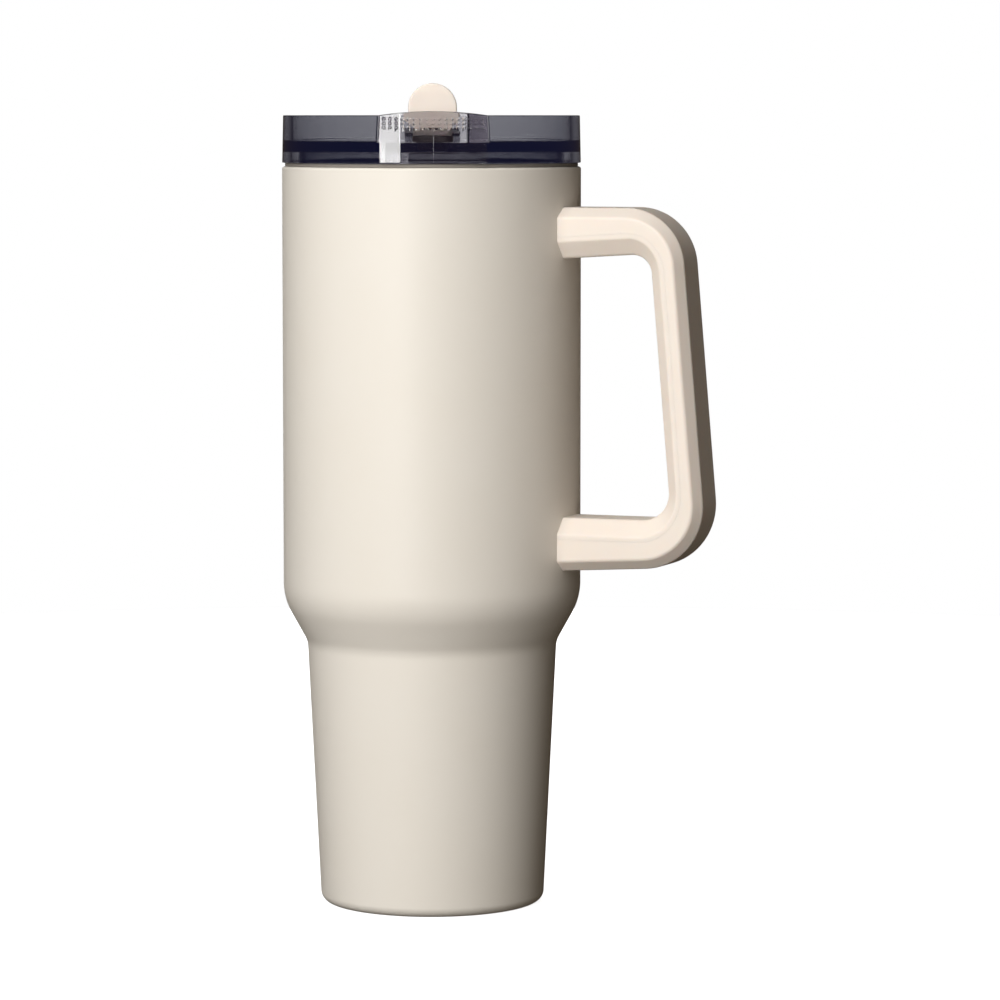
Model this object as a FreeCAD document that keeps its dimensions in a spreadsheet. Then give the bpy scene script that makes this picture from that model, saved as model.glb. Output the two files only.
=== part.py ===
"""A 1.2 litre vacuum tumbler with a side handle and a see-through lid with a flip tab.

Millimetres, +Z up. The origin is the centre of the ring that the tumbler stands on, the handle points along
+X, and the lid is turned about Z so that its spout faces a little way round from -Y.
"""
import FreeCAD, Part
import math
import os

import Sketcher
from FreeCAD import Placement, Rotation, Vector

# ---------------------------------------------------------------- driving sizes (millimetres, degrees)
SIZES = {
    # outer shell, drawn and spun from sheet, then powder coated
    "body_radius": 50.0,        # straight upper part
    "rim_height": 248.0,        # top of the rolled rim
    "shoulder_height": 103.1,   # where the straight part meets the cone
    "waist_radius": 41.95,      # where the cone meets the tapered foot
    "waist_height": 88.6,
    "foot_radius": 37.55,       # taper carried down to the floor
    "shoulder_round": 21.0,
    "waist_round": 8.5,
    "foot_round": 3.5,
    "rim_round": 1.0,
    "rim_lip": 1.8,             # width of the rim rolled inwards
    "sheet": 0.5,               # thickness of every steel sheet in the vessel
    "foot_ring": 4.55,          # width of the flat ring that it stands on
    # liner and the vacuum bottom
    "vacuum_gap": 3.0,
    "mouth_inset": 3.2,         # the bore that the lid's seal fits is this much smaller than the shell
    "mouth_depth": 16.0,
    "mouth_step": 3.0,          # height of the cone from the mouth to the liner's own bore
    "liner_floor": 10.0,        # underside of the liner's bottom
    "liner_bowl_height": 10.0,  # height of the bowl welded on as the liner's bottom
    "liner_bowl_round": 7.0,
    "vacuum_base_height": 5.0,
    "vacuum_base_upstand": 4.0,
    "evacuation_hole": 1.5,     # radius
    "bead_radius": 3.2,
    "bead_height": 0.9,
    "getter_radius": 6.0,
    "getter_height": 2.0,
    "getter_offset": 18.0,
    "cover_recess": 0.3,        # the base cover lies this far above the floor
    "cover_upstand": 3.0,
    "cover_gap": 0.05,
    "weld_gap": 0.05,           # between pieces that are welded face to face on slopes
    # handle, a hollow moulding in two halves
    "handle_width": 22.0,
    "handle_drop": 13.2,        # top of the handle below the rim
    "upper_arm_root": 17.0,     # depth of the upper arm at the shell
    "upper_arm_bend": 15.05,    # its depth carried out to the grip's inside
    "handle_clear": 11.2,       # underside of the lower arm above the shoulder, at the shell
    "lower_arm_rise": 3.0,      # how far that underside rises on its way out
    "lower_arm_root": 17.9,     # depth of the lower arm at the shell
    "reach_top": 40.1,          # outside of the grip beyond the shell, at the top corner
    "reach_bottom": 50.2,       # and at the bottom corner
    "grip_depth": 11.55,
    "upper_bend": 20.0,
    "lower_bend": 21.0,
    "upper_inner_bend": 6.5,
    "lower_inner_bend": 9.0,
    "bevel_across": 4.0,        # the long bevels: across the handle's width
    "outer_bevel": 2.8,         # and into its depth, outside
    "inner_bevel": 4.2,         # and inside
    "handle_wall": 2.4,
    "cover_depth": 4.8,         # depth of the inner half
    "cover_rib": 1.5,           # rib that locates the inner half in the outer one
    "handle_fit": 0.1,          # clearance of the rib, and of the arms' ends on the shell
    # brackets and screws of the handle
    "bracket_width": 14.0,
    "bracket_height": 7.6,
    "bracket_plate": 1.5,
    "tongue_width": 10.0,
    "tongue_thickness": 2.5,
    "tongue_reach": 21.0,       # beyond the shell
    "screw_reach": 14.0,        # the screws' distance beyond the shell
    "screw_radius": 1.5,
    "screw_length": 11.4,
    "screw_clearance": 0.2,
    "head_radius": 3.0,
    "head_height": 1.8,
    "upper_seat_depth": 1.6,    # head seat below the joint of the upper arm's halves
    "lower_seat_height": 3.9,   # head seat above the lower arm's underside
    "boss_radius": 4.2,
    "boss_gap": 0.05,
    # lid moulding
    "lid_turn": 22.5,           # degrees about Z, spout away from -Y
    "lid_height": 17.0,         # top of the lid above the rim
    "lid_top_inset": 0.4,       # the lid's wall inside the shell's radius, at its top
    "lid_bottom_inset": 0.05,   # and at its bottom
    "lid_wall": 3.2,
    "deck_drop": 8.9,           # depth of the recess
    "deck_thickness": 3.0,
    "recess_round": 1.5,
    "seal_space": 2.2,          # between spigot and mouth
    "spigot_wall": 2.0,
    "spigot_depth": 10.0,       # below the rim
    "spigot_bead": 0.8,         # bead at its foot that keeps the seal on
    "bead_depth": 1.2,
    "vent_radius": 1.5,
    "vent_offset": 27.0,
    # lid seal
    "seal_flange_inset": 1.0,   # inside the shell's radius
    "seal_flange": 1.2,         # thickness of the flange that rests on the rim
    "seal_skirt": 1.2,
    "seal_lip": 1.1,            # height of each sealing lip
    "seal_fit": 0.15,           # radial gap of the relaxed lips to the mouth
    "seat_gap": 0.05,           # between the relaxed flange and the rim
    # spout insert
    "spout_width_top": 35.2,
    "spout_width_bottom": 36.8,
    "spout_face_radius": 70.0,  # its face is flatter than the lid's wall
    "spout_face_inset": 0.1,    # middle of the face inside the shell's radius
    "spout_depth": 8.4,
    "spout_wall": 2.2,
    "spout_rise": 1.3,          # how far the lip stands above the lid
    "spout_channel": 23.0,
    "spout_fit": 0.1,
    # flip tab, its pin and stopper
    "hinge_setback": 11.5,      # of the pin, behind the spout's back
    "hinge_rise": 2.8,          # of the pin above the deck
    "pin_radius": 0.8,
    "pin_run": 0.05,            # radial clearance in the tab's barrel
    "pin_length": 16.0,
    "lug_thickness": 2.2,
    "lug_radius": 2.0,
    "lug_gap": 0.25,
    "tab_width": 16.0,
    "tab_thickness": 2.4,
    "tab_rise": 16.6,           # top of the tab above the pin
    "stem_width": 11.5,
    "stem_rise": 2.4,           # stem above the pin before it widens
    "stem_flare": 2.0,
    "barrel_radius": 2.1,
    "foot_length": 13.3,
    "foot_thickness": 1.8,
    "foot_rise": 1.3,           # top of the foot above the pin
    "opening_width": 11.4,      # drink opening in the deck
    "opening_length": 7.4,
    "opening_ahead": 8.5,       # middle of the opening, ahead of the pin
    "opening_corner": 3.0,
    "plug_fit": 0.25,
    "plug_depth": 2.6,
    "plug_bevel": 1.8,          # lets the plug swing out of the opening
    "flange_overlap": 0.6,      # of the stopper's flange past the opening
    "stopper_gap": 0.1,         # flange above the deck
    "neck_radius": 2.0,
    "button_radius": 2.8,
    "button_height": 0.8,
}

os.makedirs("parts", exist_ok=True)
doc = FreeCAD.newDocument("tumbler")
sheet = doc.addObject("Spreadsheet::Sheet", "dims")
for row, (alias, number) in enumerate(SIZES.items(), start=1):
    sheet.set(f"A{row}", alias)
    sheet.set(f"B{row}", str(number))
    sheet.setAlias(f"B{row}", alias)
doc.recompute()


class Size:
    """A size as a number and as the expression that ties it to the sheet, so each formula is written once."""

    def __init__(self, value, text):
        self.value = float(value)
        self.text = text

    def join(self, other, sign, value):
        return Size(value, f"({self.text} {sign} {other.text})")

    def __add__(self, other):
        other = as_size(other)
        return self.join(other, "+", self.value + other.value)

    def __sub__(self, other):
        other = as_size(other)
        return self.join(other, "-", self.value - other.value)

    def __mul__(self, other):
        other = as_size(other)
        return self.join(other, "*", self.value * other.value)

    def __truediv__(self, other):
        other = as_size(other)
        return self.join(other, "/", self.value / other.value)

    def __neg__(self):
        return Size(-self.value, f"(0 - {self.text})")


def as_size(number):
    """A Size as it is, or a plain number made into one."""
    return number if isinstance(number, Size) else Size(number, repr(float(number)))


def cell(alias):
    """The Size held by one named cell of the sheet."""
    return Size(float(sheet.get(alias)), f"dims.{alias}")


ZERO = as_size(0)
TOLERANCE = 1e-4
PAST = 1                    # mm that cutters and hidden ends run past the face they meet
PAST_ARM = 5                # mm that the lower screw's recess runs out of the arm
NEAR = 1.2                  # mm from the place given within which an edge's middle is looked for
MOSTLY = 0.8                # share of an edge's length that lies along the direction asked for
ARM_START = 0.9             # arms start inside the shell, at this share of its radius
BEAD_TIP = 0.6              # radius of the sealing bead's lower end, as a share of its radius
CROSS_SLOT = 0.18           # half width of the cross recess, as a share of the screw head's radius
CROSS_ARM = 0.6             # its reach, as a share of the same
CROSS_DEPTH = 0.6           # its depth, as a share of the head's height
LIPS = 3                    # lips on the lid's seal
LIP_START, LIP_END = 0.4, 0.7   # a lip's outer face, from the lip's top, as shares of its height
AXIS_X, AXIS_Y, AXIS_Z = Vector(1, 0, 0), Vector(0, 1, 0), Vector(0, 0, 1)


# ---------------------------------------------------------------- helpers: bodies, sketches, features
def bind(thing, **sizes):
    """Tie properties to sizes; a double underscore in a name stands for a dot."""
    for name, size in sizes.items():
        thing.setExpression(name.replace("__", "."), as_size(size).text)


def new_body(name):
    return doc.addObject("PartDesign::Body", name)


def sketch_on(body, role, name, lift=None):
    """An empty sketch on one of the body's origin planes, raised along its normal by lift."""
    sketch = body.newObject("Sketcher::SketchObject", name)
    plane = next(item for item in body.Origin.OriginFeatures if item.Role == role)
    sketch.AttachmentSupport = (plane, [""])
    sketch.MapMode = "FlatFace"
    if lift is not None:
        sketch.setExpression("AttachmentOffset.Base.z", lift.text)
    return sketch


def draw_outline(sketch, corners):
    """Draw a closed outline of straight edges and tie each corner's two coordinates to the sheet."""
    points = [(as_size(across), as_size(up)) for across, up in corners]
    places = [Vector(across.value, up.value, 0) for across, up in points]
    count = len(places)
    for i in range(count):
        sketch.addGeometry(Part.LineSegment(places[i], places[(i + 1) % count]))
    for i in range(count):
        sketch.addConstraint(Sketcher.Constraint("Coincident", i, 2, (i + 1) % count, 1))
    for i, point in enumerate(points):
        for kind, axis, size in (("DistanceX", -2, point[0]), ("DistanceY", -1, point[1])):
            if size.value == 0:
                sketch.addConstraint(Sketcher.Constraint("PointOnObject", i, 1, axis))
                continue
            number = sketch.addConstraint(Sketcher.Constraint(kind, -1, 1, i, 1, size.value))
            label = f"corner{i}_{kind[-1].lower()}"
            sketch.renameConstraint(number, label)
            sketch.setExpression(f"Constraints.{label}", size.text)


def revolved(name, corners):
    """A body turned about Z from an outline of (radius, height) corners."""
    body = new_body(name)
    sketch = sketch_on(body, "XZ_Plane", name + "_profile")
    draw_outline(sketch, corners)
    turn = body.newObject("PartDesign::Revolution", name + "_turn")
    turn.Profile = sketch
    turn.ReferenceAxis = (sketch, ["V_Axis"])
    turn.Angle = 360
    doc.recompute()
    return body


def padded(name, role, corners, length, lift=None, both_ways=False, reverse=False):
    """A body extruded from an outline on an origin plane."""
    body = new_body(name)
    sketch = sketch_on(body, role, name + "_profile", lift)
    draw_outline(sketch, corners)
    pad = body.newObject("PartDesign::Pad", name + "_pad")
    pad.Profile = sketch
    pad.SideType = "Symmetric" if both_ways else "One side"
    pad.Reversed = reverse
    bind(pad, Length=length)
    doc.recompute()
    return body


def round_edges(body, edges, radius, name):
    """Fillet the named edges of a body's latest feature."""
    if not edges:
        raise RuntimeError(f"{name}: no edge to round")
    fillet = body.newObject("PartDesign::Fillet", name)
    fillet.Base = (body.Tip if body.Tip != fillet else fillet.BaseFeature, edges)
    bind(fillet, Radius=radius)
    doc.recompute()


def ring_edges(body, radius, height):
    """Names of a turned body's circular edges at this radius and height."""
    found = []
    for number, edge in enumerate(body.Shape.Edges, start=1):
        curve = edge.Curve
        if not isinstance(curve, Part.Circle):
            continue
        same_radius = abs(curve.Radius - as_size(radius).value) < TOLERANCE
        if same_radius and abs(curve.Center.z - as_size(height).value) < TOLERANCE:
            found.append(f"Edge{number}")
    return found


def line_edges(body, across, up, along="Y"):
    """Names of a body's straight edges along Y through (x, z), or nearly along Z through (x, y)."""
    found = []
    for number, edge in enumerate(body.Shape.Edges, start=1):
        start, end = edge.valueAt(edge.FirstParameter), edge.valueAt(edge.LastParameter)
        chord = end - start
        middle = (start + end) * 0.5
        reach = abs(chord.y if along == "Y" else chord.z)
        second = middle.z if along == "Y" else middle.y
        near = abs(middle.x - across.value) < NEAR and abs(second - up.value) < NEAR
        if reach > chord.Length * MOSTLY and near:
            found.append(f"Edge{number}")
    return found


def cylinder(name, radius, length, base, axis=AXIS_Z):
    """A cylinder that starts at base and runs along axis."""
    item = doc.addObject("Part::Cylinder", name)
    item.Placement = Placement(Vector(), Rotation(AXIS_Z, axis))
    x, y, z = (as_size(value) for value in base)
    bind(item, Radius=radius, Height=length, Placement__Base__x=x, Placement__Base__y=y, Placement__Base__z=z)
    return item


def grouped(name, items):
    """A compound of several solids, or of one primitive that keeps its own place when the whole is turned."""
    group = doc.addObject("Part::Compound", name)
    group.Links = items
    return group


def box(name, low, high):
    """A box between two corners."""
    item = doc.addObject("Part::Box", name)
    low, high = [[as_size(value) for value in corner] for corner in (low, high)]
    bind(item, Length=high[0] - low[0], Width=high[1] - low[1], Height=high[2] - low[2],
         Placement__Base__x=low[0], Placement__Base__y=low[1], Placement__Base__z=low[2])
    return item


def fuse(name, *items):
    result = doc.addObject("Part::MultiFuse", name)
    result.Shapes = list(items)
    result.Refine = True
    return result


def common(name, *items):
    result = doc.addObject("Part::MultiCommon", name)
    result.Shapes = list(items)
    return result


def cut(name, base, tool):
    result = doc.addObject("Part::Cut", name)
    result.Base = base
    result.Tool = tool
    result.Refine = True
    return result


nodes = {}


def publish(item, node, turn=None):
    """Name a finished piece, and turn the lid's pieces about Z."""
    item.Label = node
    if item.Label != node:
        raise RuntimeError(f"the name {node} is taken")
    if turn is not None:
        item.Placement = Placement(Vector(), Rotation(AXIS_Z, 1))
        item.setExpression("Placement.Rotation.Angle", f"{turn.text} * 1deg")
    nodes[node] = item


# ---------------------------------------------------------------- shared sizes
rim = cell("rim_height")
sheet_metal = cell("sheet")
body_radius = cell("body_radius")
waist_radius = cell("waist_radius")
waist_height = cell("waist_height")
foot_radius = cell("foot_radius")
shoulder_height = cell("shoulder_height")
mouth_radius = body_radius - cell("mouth_inset")
foot_opening = foot_radius - cell("foot_round") - cell("foot_ring")


cone_angle = math.atan2(body_radius.value - waist_radius.value, shoulder_height.value - waist_height.value)
taper_angle = math.atan2(waist_radius.value - foot_radius.value, waist_height.value)
FLOOR_ANGLE = math.pi / 2


def inward(corner, depth, first, second):
    """A corner of the shell's outline moved inwards by depth; its two walls lean in by these angles."""
    radius, height = corner
    mean, half_turn = (first + second) / 2, (first - second) / 2
    along, up = math.cos(mean) / math.cos(half_turn), math.sin(mean) / math.cos(half_turn)
    return radius - depth * along, height + depth * up


def shell_bore(height):
    """Inside radius of the outer shell's tapered foot at a height."""
    return foot_radius + (waist_radius - foot_radius) * height / waist_height - sheet_metal


SHOULDER, WAIST, FOOT = (body_radius, shoulder_height), (waist_radius, waist_height), (foot_radius, ZERO)


def shoulder_inward(depth):
    return inward(SHOULDER, depth, 0, cone_angle)


def waist_inward(depth):
    return inward(WAIST, depth, cone_angle, taper_angle)


# ---------------------------------------------------------------- vessel
def make_outer_shell():
    """One turned sheet: rolled rim, straight wall, cone, tapered foot and the ring that it stands on."""
    lip = body_radius - cell("rim_lip")
    shoulder_inside, waist_inside = shoulder_inward(sheet_metal), waist_inward(sheet_metal)
    foot_inside = inward(FOOT, sheet_metal, taper_angle, FLOOR_ANGLE)
    bore, under_rim = body_radius - sheet_metal, rim - sheet_metal
    body = revolved("shell_sheet", [
        (foot_opening, ZERO), FOOT, WAIST, SHOULDER, (body_radius, rim), (lip, rim), (lip, under_rim),
        (bore, under_rim), shoulder_inside, waist_inside, foot_inside, (foot_opening, sheet_metal)])
    shoulder, waist, foot = cell("shoulder_round"), cell("waist_round"), cell("foot_round")
    rounds = (
        (SHOULDER, shoulder), (shoulder_inside, shoulder - sheet_metal),
        (WAIST, waist), (waist_inside, waist + sheet_metal),
        (FOOT, foot), (foot_inside, foot - sheet_metal),
        ((body_radius, rim), cell("rim_round")),
    )
    for number, ((radius, height), size) in enumerate(rounds):
        round_edges(body, ring_edges(body, radius, height), size, f"shell_round{number}")
    publish(body, "outer_shell")


def make_inner_liner():
    """Liner tube: a flange inside the rim's lip, the mouth, the bore, the cone, and the tapered lower part."""
    gap = cell("vacuum_gap")
    flange = body_radius - cell("rim_lip")
    step_top = rim - cell("mouth_depth")
    step_bottom = step_top - cell("mouth_step")
    outer_depth, inner_depth = sheet_metal + gap, sheet_metal * 2 + gap
    cone_top, cone_top_inside = shoulder_inward(outer_depth), shoulder_inward(inner_depth)
    waist, waist_inside = waist_inward(outer_depth), waist_inward(inner_depth)
    bottom = cell("liner_floor") + cell("liner_bowl_height")
    bottom_outside = shell_bore(bottom) - gap
    outside = body_radius - outer_depth
    body = revolved("liner_tube", [
        (flange, rim), (flange, rim - sheet_metal), (mouth_radius + sheet_metal, rim - sheet_metal),
        (mouth_radius + sheet_metal, step_top), (outside, step_bottom), cone_top, waist, (bottom_outside, bottom),
        (bottom_outside - sheet_metal, bottom), waist_inside, cone_top_inside,
        (outside - sheet_metal, step_bottom), (mouth_radius, step_top), (mouth_radius, rim)])
    soft = cell("waist_round")
    rounds = ((cone_top, soft + sheet_metal), (cone_top_inside, soft), (waist, soft),
              (waist_inside, soft + sheet_metal))
    for number, ((radius, height), size) in enumerate(rounds):
        round_edges(body, ring_edges(body, radius, height), size, f"liner_round{number}")
    publish(body, "inner_liner")


def make_liner_bottom():
    """Bowl welded edge to edge under the liner tube."""
    low = cell("liner_floor")
    high = low + cell("liner_bowl_height")
    outside = shell_bore(high) - cell("vacuum_gap")
    corner = shell_bore(low) - cell("vacuum_gap")
    body = revolved("liner_bottom", [
        (ZERO, low), (corner, low), (outside, high), (outside - sheet_metal, high),
        (corner - sheet_metal, low + sheet_metal), (ZERO, low + sheet_metal)])
    bowl = cell("liner_bowl_round")
    round_edges(body, ring_edges(body, corner, low), bowl, "bowl_outside")
    inside = ring_edges(body, corner - sheet_metal, low + sheet_metal)
    round_edges(body, inside, bowl - sheet_metal, "bowl_inside")
    publish(body, "liner_bottom")


def make_vacuum_bottom():
    """Sealed bottom between shell and liner, with its solder bead, and the getter on it."""
    low = cell("vacuum_base_height")
    high = low + cell("vacuum_base_upstand")
    edge, edge_top = shell_bore(low) - cell("weld_gap"), shell_bore(high) - cell("weld_gap")
    hole = cell("evacuation_hole")
    base = revolved("vacuum_base", [
        (hole, low), (edge, low), (edge_top, high), (edge_top - sheet_metal, high),
        (edge - sheet_metal, low + sheet_metal), (hole, low + sheet_metal)])
    publish(base, "vacuum_base")

    bead, drop = cell("bead_radius"), cell("bead_height")
    body = revolved("seal_bead", [
        (ZERO, low - drop), (bead * BEAD_TIP, low - drop), (bead, low), (hole, low), (hole, low + sheet_metal),
        (ZERO, low + sheet_metal)])
    publish(body, "seal_bead")

    getter = cylinder("getter_pellet", cell("getter_radius"), cell("getter_height"),
                      (cell("getter_offset"), ZERO, low + sheet_metal))
    publish(getter, "getter")


def make_base_cover():
    """Pressed steel dish that closes the hole inside the foot ring."""
    low = cell("cover_recess")
    high = low + cell("cover_upstand")
    edge = foot_opening - cell("cover_gap")
    body = revolved("base_cover", [
        (ZERO, low), (edge, low), (edge, high), (edge - sheet_metal, high),
        (edge - sheet_metal, low + sheet_metal), (ZERO, low + sheet_metal)])
    publish(body, "base_cover")


# ---------------------------------------------------------------- handle
handle_top = rim - cell("handle_drop")
handle_low = shoulder_height + cell("handle_clear")
handle_low_out = handle_low + cell("lower_arm_rise")
lower_arm_top = handle_low + cell("lower_arm_root")
reach_top = body_radius + cell("reach_top")
reach_bottom = body_radius + cell("reach_bottom")
screw_place = body_radius + cell("screw_reach")
# the arms are drawn from inside the shell and trimmed to it afterwards
arm_start = body_radius * ARM_START
lean = math.atan((reach_bottom.value - reach_top.value) / (handle_top.value - handle_low_out.value))
lean_stretch = 1 / math.cos(lean)


def grip_outside(height):
    """Distance of the grip's outside from the axis at a height; the grip leans outwards going down."""
    return reach_top + (reach_bottom - reach_top) * (handle_top - height) / (handle_top - handle_low_out)


def outer_path(inset):
    """The handle's outside edge, from the upper root to the lower, moved inwards by inset."""
    inset = as_size(inset)
    high, low, low_out = handle_top - inset, handle_low + inset, handle_low_out + inset
    side = inset * lean_stretch
    return [(arm_start, high), (grip_outside(high) - side, high), (grip_outside(low_out) - side, low_out),
            (arm_start, low)]


def inner_path(outset):
    """The hand gap's edge, from the upper root to the lower, moved outwards by outset."""
    outset = as_size(outset)
    root = handle_top - cell("upper_arm_root") + outset
    bend = handle_top - cell("upper_arm_bend") + outset
    low = lower_arm_top - outset
    side = (outset - cell("grip_depth")) * lean_stretch
    return [(arm_start, root), (grip_outside(bend) + side, bend), (grip_outside(low) + side, low),
            (arm_start, low)]


def handle_band(name, far, near, width, far_bends, near_bends):
    """A C-shaped band between two edges of the handle, with rounded bends."""
    body = padded(name, "XZ_Plane", far + near[::-1], width, both_ways=True)
    corners = list(zip(far[1:3] + near[1:3], far_bends + near_bends))
    for number, ((across, up), bend) in enumerate(corners):
        round_edges(body, line_edges(body, across, up), bend, f"{name}_bend{number}")
    return body


def outer_bends(inset):
    return [cell("upper_bend") - inset, cell("lower_bend") - inset]


def inner_bends(outset):
    return [cell("upper_inner_bend") + outset, cell("lower_inner_bend") + outset]


def bevel_long_edges(body, middle, depth, name):
    """Bevel the two long edges of a band that pass near middle, a distance from the axis at mid height."""
    half = cell("handle_width").value / 2
    height = (handle_top.value + handle_low_out.value) / 2
    for side in (-1, 1):
        distances = []
        for number, edge in enumerate(body.Shape.Edges, start=1):
            point = edge.valueAt((edge.FirstParameter + edge.LastParameter) / 2)
            if abs(point.y - side * half) < TOLERANCE:
                distances.append((math.hypot(point.x - middle, (point.z - height) / 4), number))
        edge_name = f"Edge{min(distances)[1]}"
        volume = body.Shape.Volume
        bevel = body.newObject("PartDesign::Chamfer", f"{name}{'_left' if side < 0 else '_right'}")
        bevel.Base = (bevel.BaseFeature, [edge_name])
        bevel.ChamferType = "Two distances"
        bind(bevel, Size=depth, Size2=cell("bevel_across"))
        doc.recompute()
        # the first distance has to lie in the flat side, where the handle's depth is measured
        side_face = max((face for face in body.Shape.Faces if abs(face.CenterOfMass.y - side * half) < TOLERANCE),
                        key=lambda face: face.Area)
        wanted = side_face.Area
        bevel.FlipDirection = True
        doc.recompute()
        flipped_face = max((face for face in body.Shape.Faces
                            if abs(face.CenterOfMass.y - side * half) < TOLERANCE), key=lambda face: face.Area)
        smaller_leg_in_side = depth.value < cell("bevel_across").value
        if (flipped_face.Area > wanted) != smaller_leg_in_side:
            bevel.FlipDirection = False
            doc.recompute()
        if not body.Shape.Volume < volume:
            raise RuntimeError(f"{name}: the bevel removed nothing")


def bracket_height(upper):
    """Height of a bracket's middle: the middle of the hollow in its arm."""
    wall, rib, depth = cell("handle_wall"), cell("cover_rib"), cell("cover_depth")
    if upper:
        return (handle_top - wall + handle_top - cell("upper_arm_root") + depth + rib) / 2
    return (handle_low + wall + lower_arm_top - depth - rib) / 2


def head_seat(upper):
    """Height of the face that a screw's head pulls on."""
    if upper:
        return handle_top - cell("upper_arm_root") + cell("cover_depth") - cell("upper_seat_depth")
    return handle_low + cell("lower_seat_height")


def make_brackets():
    """A curved plate welded to the shell with a tongue that reaches into the arm, one for each arm."""
    for upper, word in ((True, "upper"), (False, "lower")):
        middle = bracket_height(upper)
        half_width, half_height = cell("bracket_width") / 2, cell("bracket_height") / 2
        blank = box(word + "_plate_blank", (arm_start, -half_width, middle - half_height),
                    (body_radius + cell("bracket_plate"), half_width, middle + half_height))
        skin = cylinder(word + "_plate_skin", body_radius + cell("bracket_plate"), rim, (ZERO, ZERO, ZERO))
        plate = common(word + "_plate", blank, skin)
        half_tongue = cell("tongue_width") / 2
        tongue = box(word + "_tongue", (arm_start, -half_tongue, middle - cell("tongue_thickness") / 2),
                     (body_radius + cell("tongue_reach"), half_tongue, middle + cell("tongue_thickness") / 2))
        shell = cylinder(word + "_plate_seat", body_radius, rim, (ZERO, ZERO, ZERO))
        hole = cylinder(word + "_tongue_hole", cell("screw_radius") + cell("screw_clearance"),
                        cell("bracket_height"), (screw_place, ZERO, middle - half_height))
        bracket = cut(word + "_bracket", fuse(word + "_bracket_blank", plate, tongue),
                      fuse(word + "_bracket_cuts", shell, hole))
        publish(bracket, f"{word}_handle_bracket")


def make_handle():
    """Outer half, a channel that opens towards the hand gap, and the inner half that closes it."""
    width, wall, fit = cell("handle_width"), cell("handle_wall"), cell("handle_fit")
    depth, rib = cell("cover_depth"), cell("cover_rib")
    reach, screw = screw_place, cell("screw_radius")
    free_hole = screw + cell("screw_clearance")
    boss, gap = cell("boss_radius"), cell("boss_gap")
    half_tongue = cell("tongue_thickness") / 2
    end = cylinder("handle_end_cut", body_radius + fit, rim, (ZERO, ZERO, ZERO))
    head_hole = cell("head_radius") + cell("screw_clearance")

    shell = handle_band("handle_shell_blank", outer_path(ZERO), inner_path(depth), width,
                        outer_bends(ZERO), inner_bends(depth))
    middle_height = (handle_top + handle_low_out) / 2
    bevel_long_edges(shell, grip_outside(middle_height).value, cell("outer_bevel"), "outer_bevel")
    core = handle_band("handle_core", outer_path(wall), inner_path(depth - rib), width - wall * 2,
                       outer_bends(wall), inner_bends(depth - rib))
    upper_boss_low = bracket_height(True) + half_tongue + gap
    lower_boss_top = bracket_height(False) - half_tongue - gap
    shell_bosses = fuse(
        "handle_shell_bosses",
        cylinder("shell_upper_boss", boss, handle_top - wall / 2 - upper_boss_low, (reach, ZERO, upper_boss_low)),
        cylinder("shell_lower_boss", boss, lower_boss_top - handle_low - wall, (reach, ZERO, handle_low + wall)))
    upper_seat, lower_seat = head_seat(True), head_seat(False)
    shell_cuts = fuse(
        "handle_shell_cuts", end,
        cylinder("shell_upper_pilot", screw, cell("screw_length"), (reach, ZERO, upper_seat)),
        cylinder("shell_lower_hole", free_hole, cell("screw_length"), (reach, ZERO, lower_seat - PAST)),
        cylinder("shell_lower_recess", head_hole, lower_seat - handle_low + PAST_ARM,
                 (reach, ZERO, handle_low - PAST_ARM)))
    hollow = cut("handle_shell_hollow", shell, core)
    publish(cut("handle_shell_cut", fuse("handle_shell_solid", hollow, shell_bosses), shell_cuts),
            "handle_shell")

    cover = handle_band("handle_cover_blank", inner_path(depth), inner_path(ZERO), width,
                        inner_bends(depth), inner_bends(ZERO))
    grip_inside = grip_outside(middle_height) - cell("grip_depth") * lean_stretch
    bevel_long_edges(cover, grip_inside.value, cell("inner_bevel"), "inner_bevel")
    locating_rib = handle_band("handle_cover_rib", inner_path(depth + rib), inner_path(depth / 2),
                               width - (wall + fit) * 2, inner_bends(depth + rib), inner_bends(depth / 2))
    upper_boss_top = bracket_height(True) - half_tongue - gap
    upper_joint = handle_top - cell("upper_arm_root") + depth
    lower_boss_low = bracket_height(False) + half_tongue + gap
    lower_joint = lower_arm_top - depth
    cover_bosses = fuse(
        "handle_cover_bosses",
        cylinder("cover_upper_boss", boss, upper_boss_top - upper_joint + PAST,
                 (reach, ZERO, upper_joint - PAST)),
        cylinder("cover_lower_boss", boss, lower_joint + PAST - lower_boss_low,
                 (reach, ZERO, lower_boss_low)))
    cover_end = cylinder("cover_end_cut", body_radius + fit, rim, (ZERO, ZERO, ZERO))
    cover_cuts = fuse(
        "handle_cover_cuts", cover_end,
        cylinder("cover_upper_hole", free_hole, cell("screw_length"), (reach, ZERO, upper_seat - PAST)),
        cylinder("cover_upper_recess", head_hole, cell("screw_length"),
                 (reach, ZERO, upper_seat - cell("screw_length"))),
        cylinder("cover_lower_pilot", screw, cell("screw_length"), (reach, ZERO, lower_seat)))
    publish(cut("handle_cover_cut", fuse("handle_cover_solid", cover, locating_rib, cover_bosses), cover_cuts),
            "handle_inner_cover")


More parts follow.
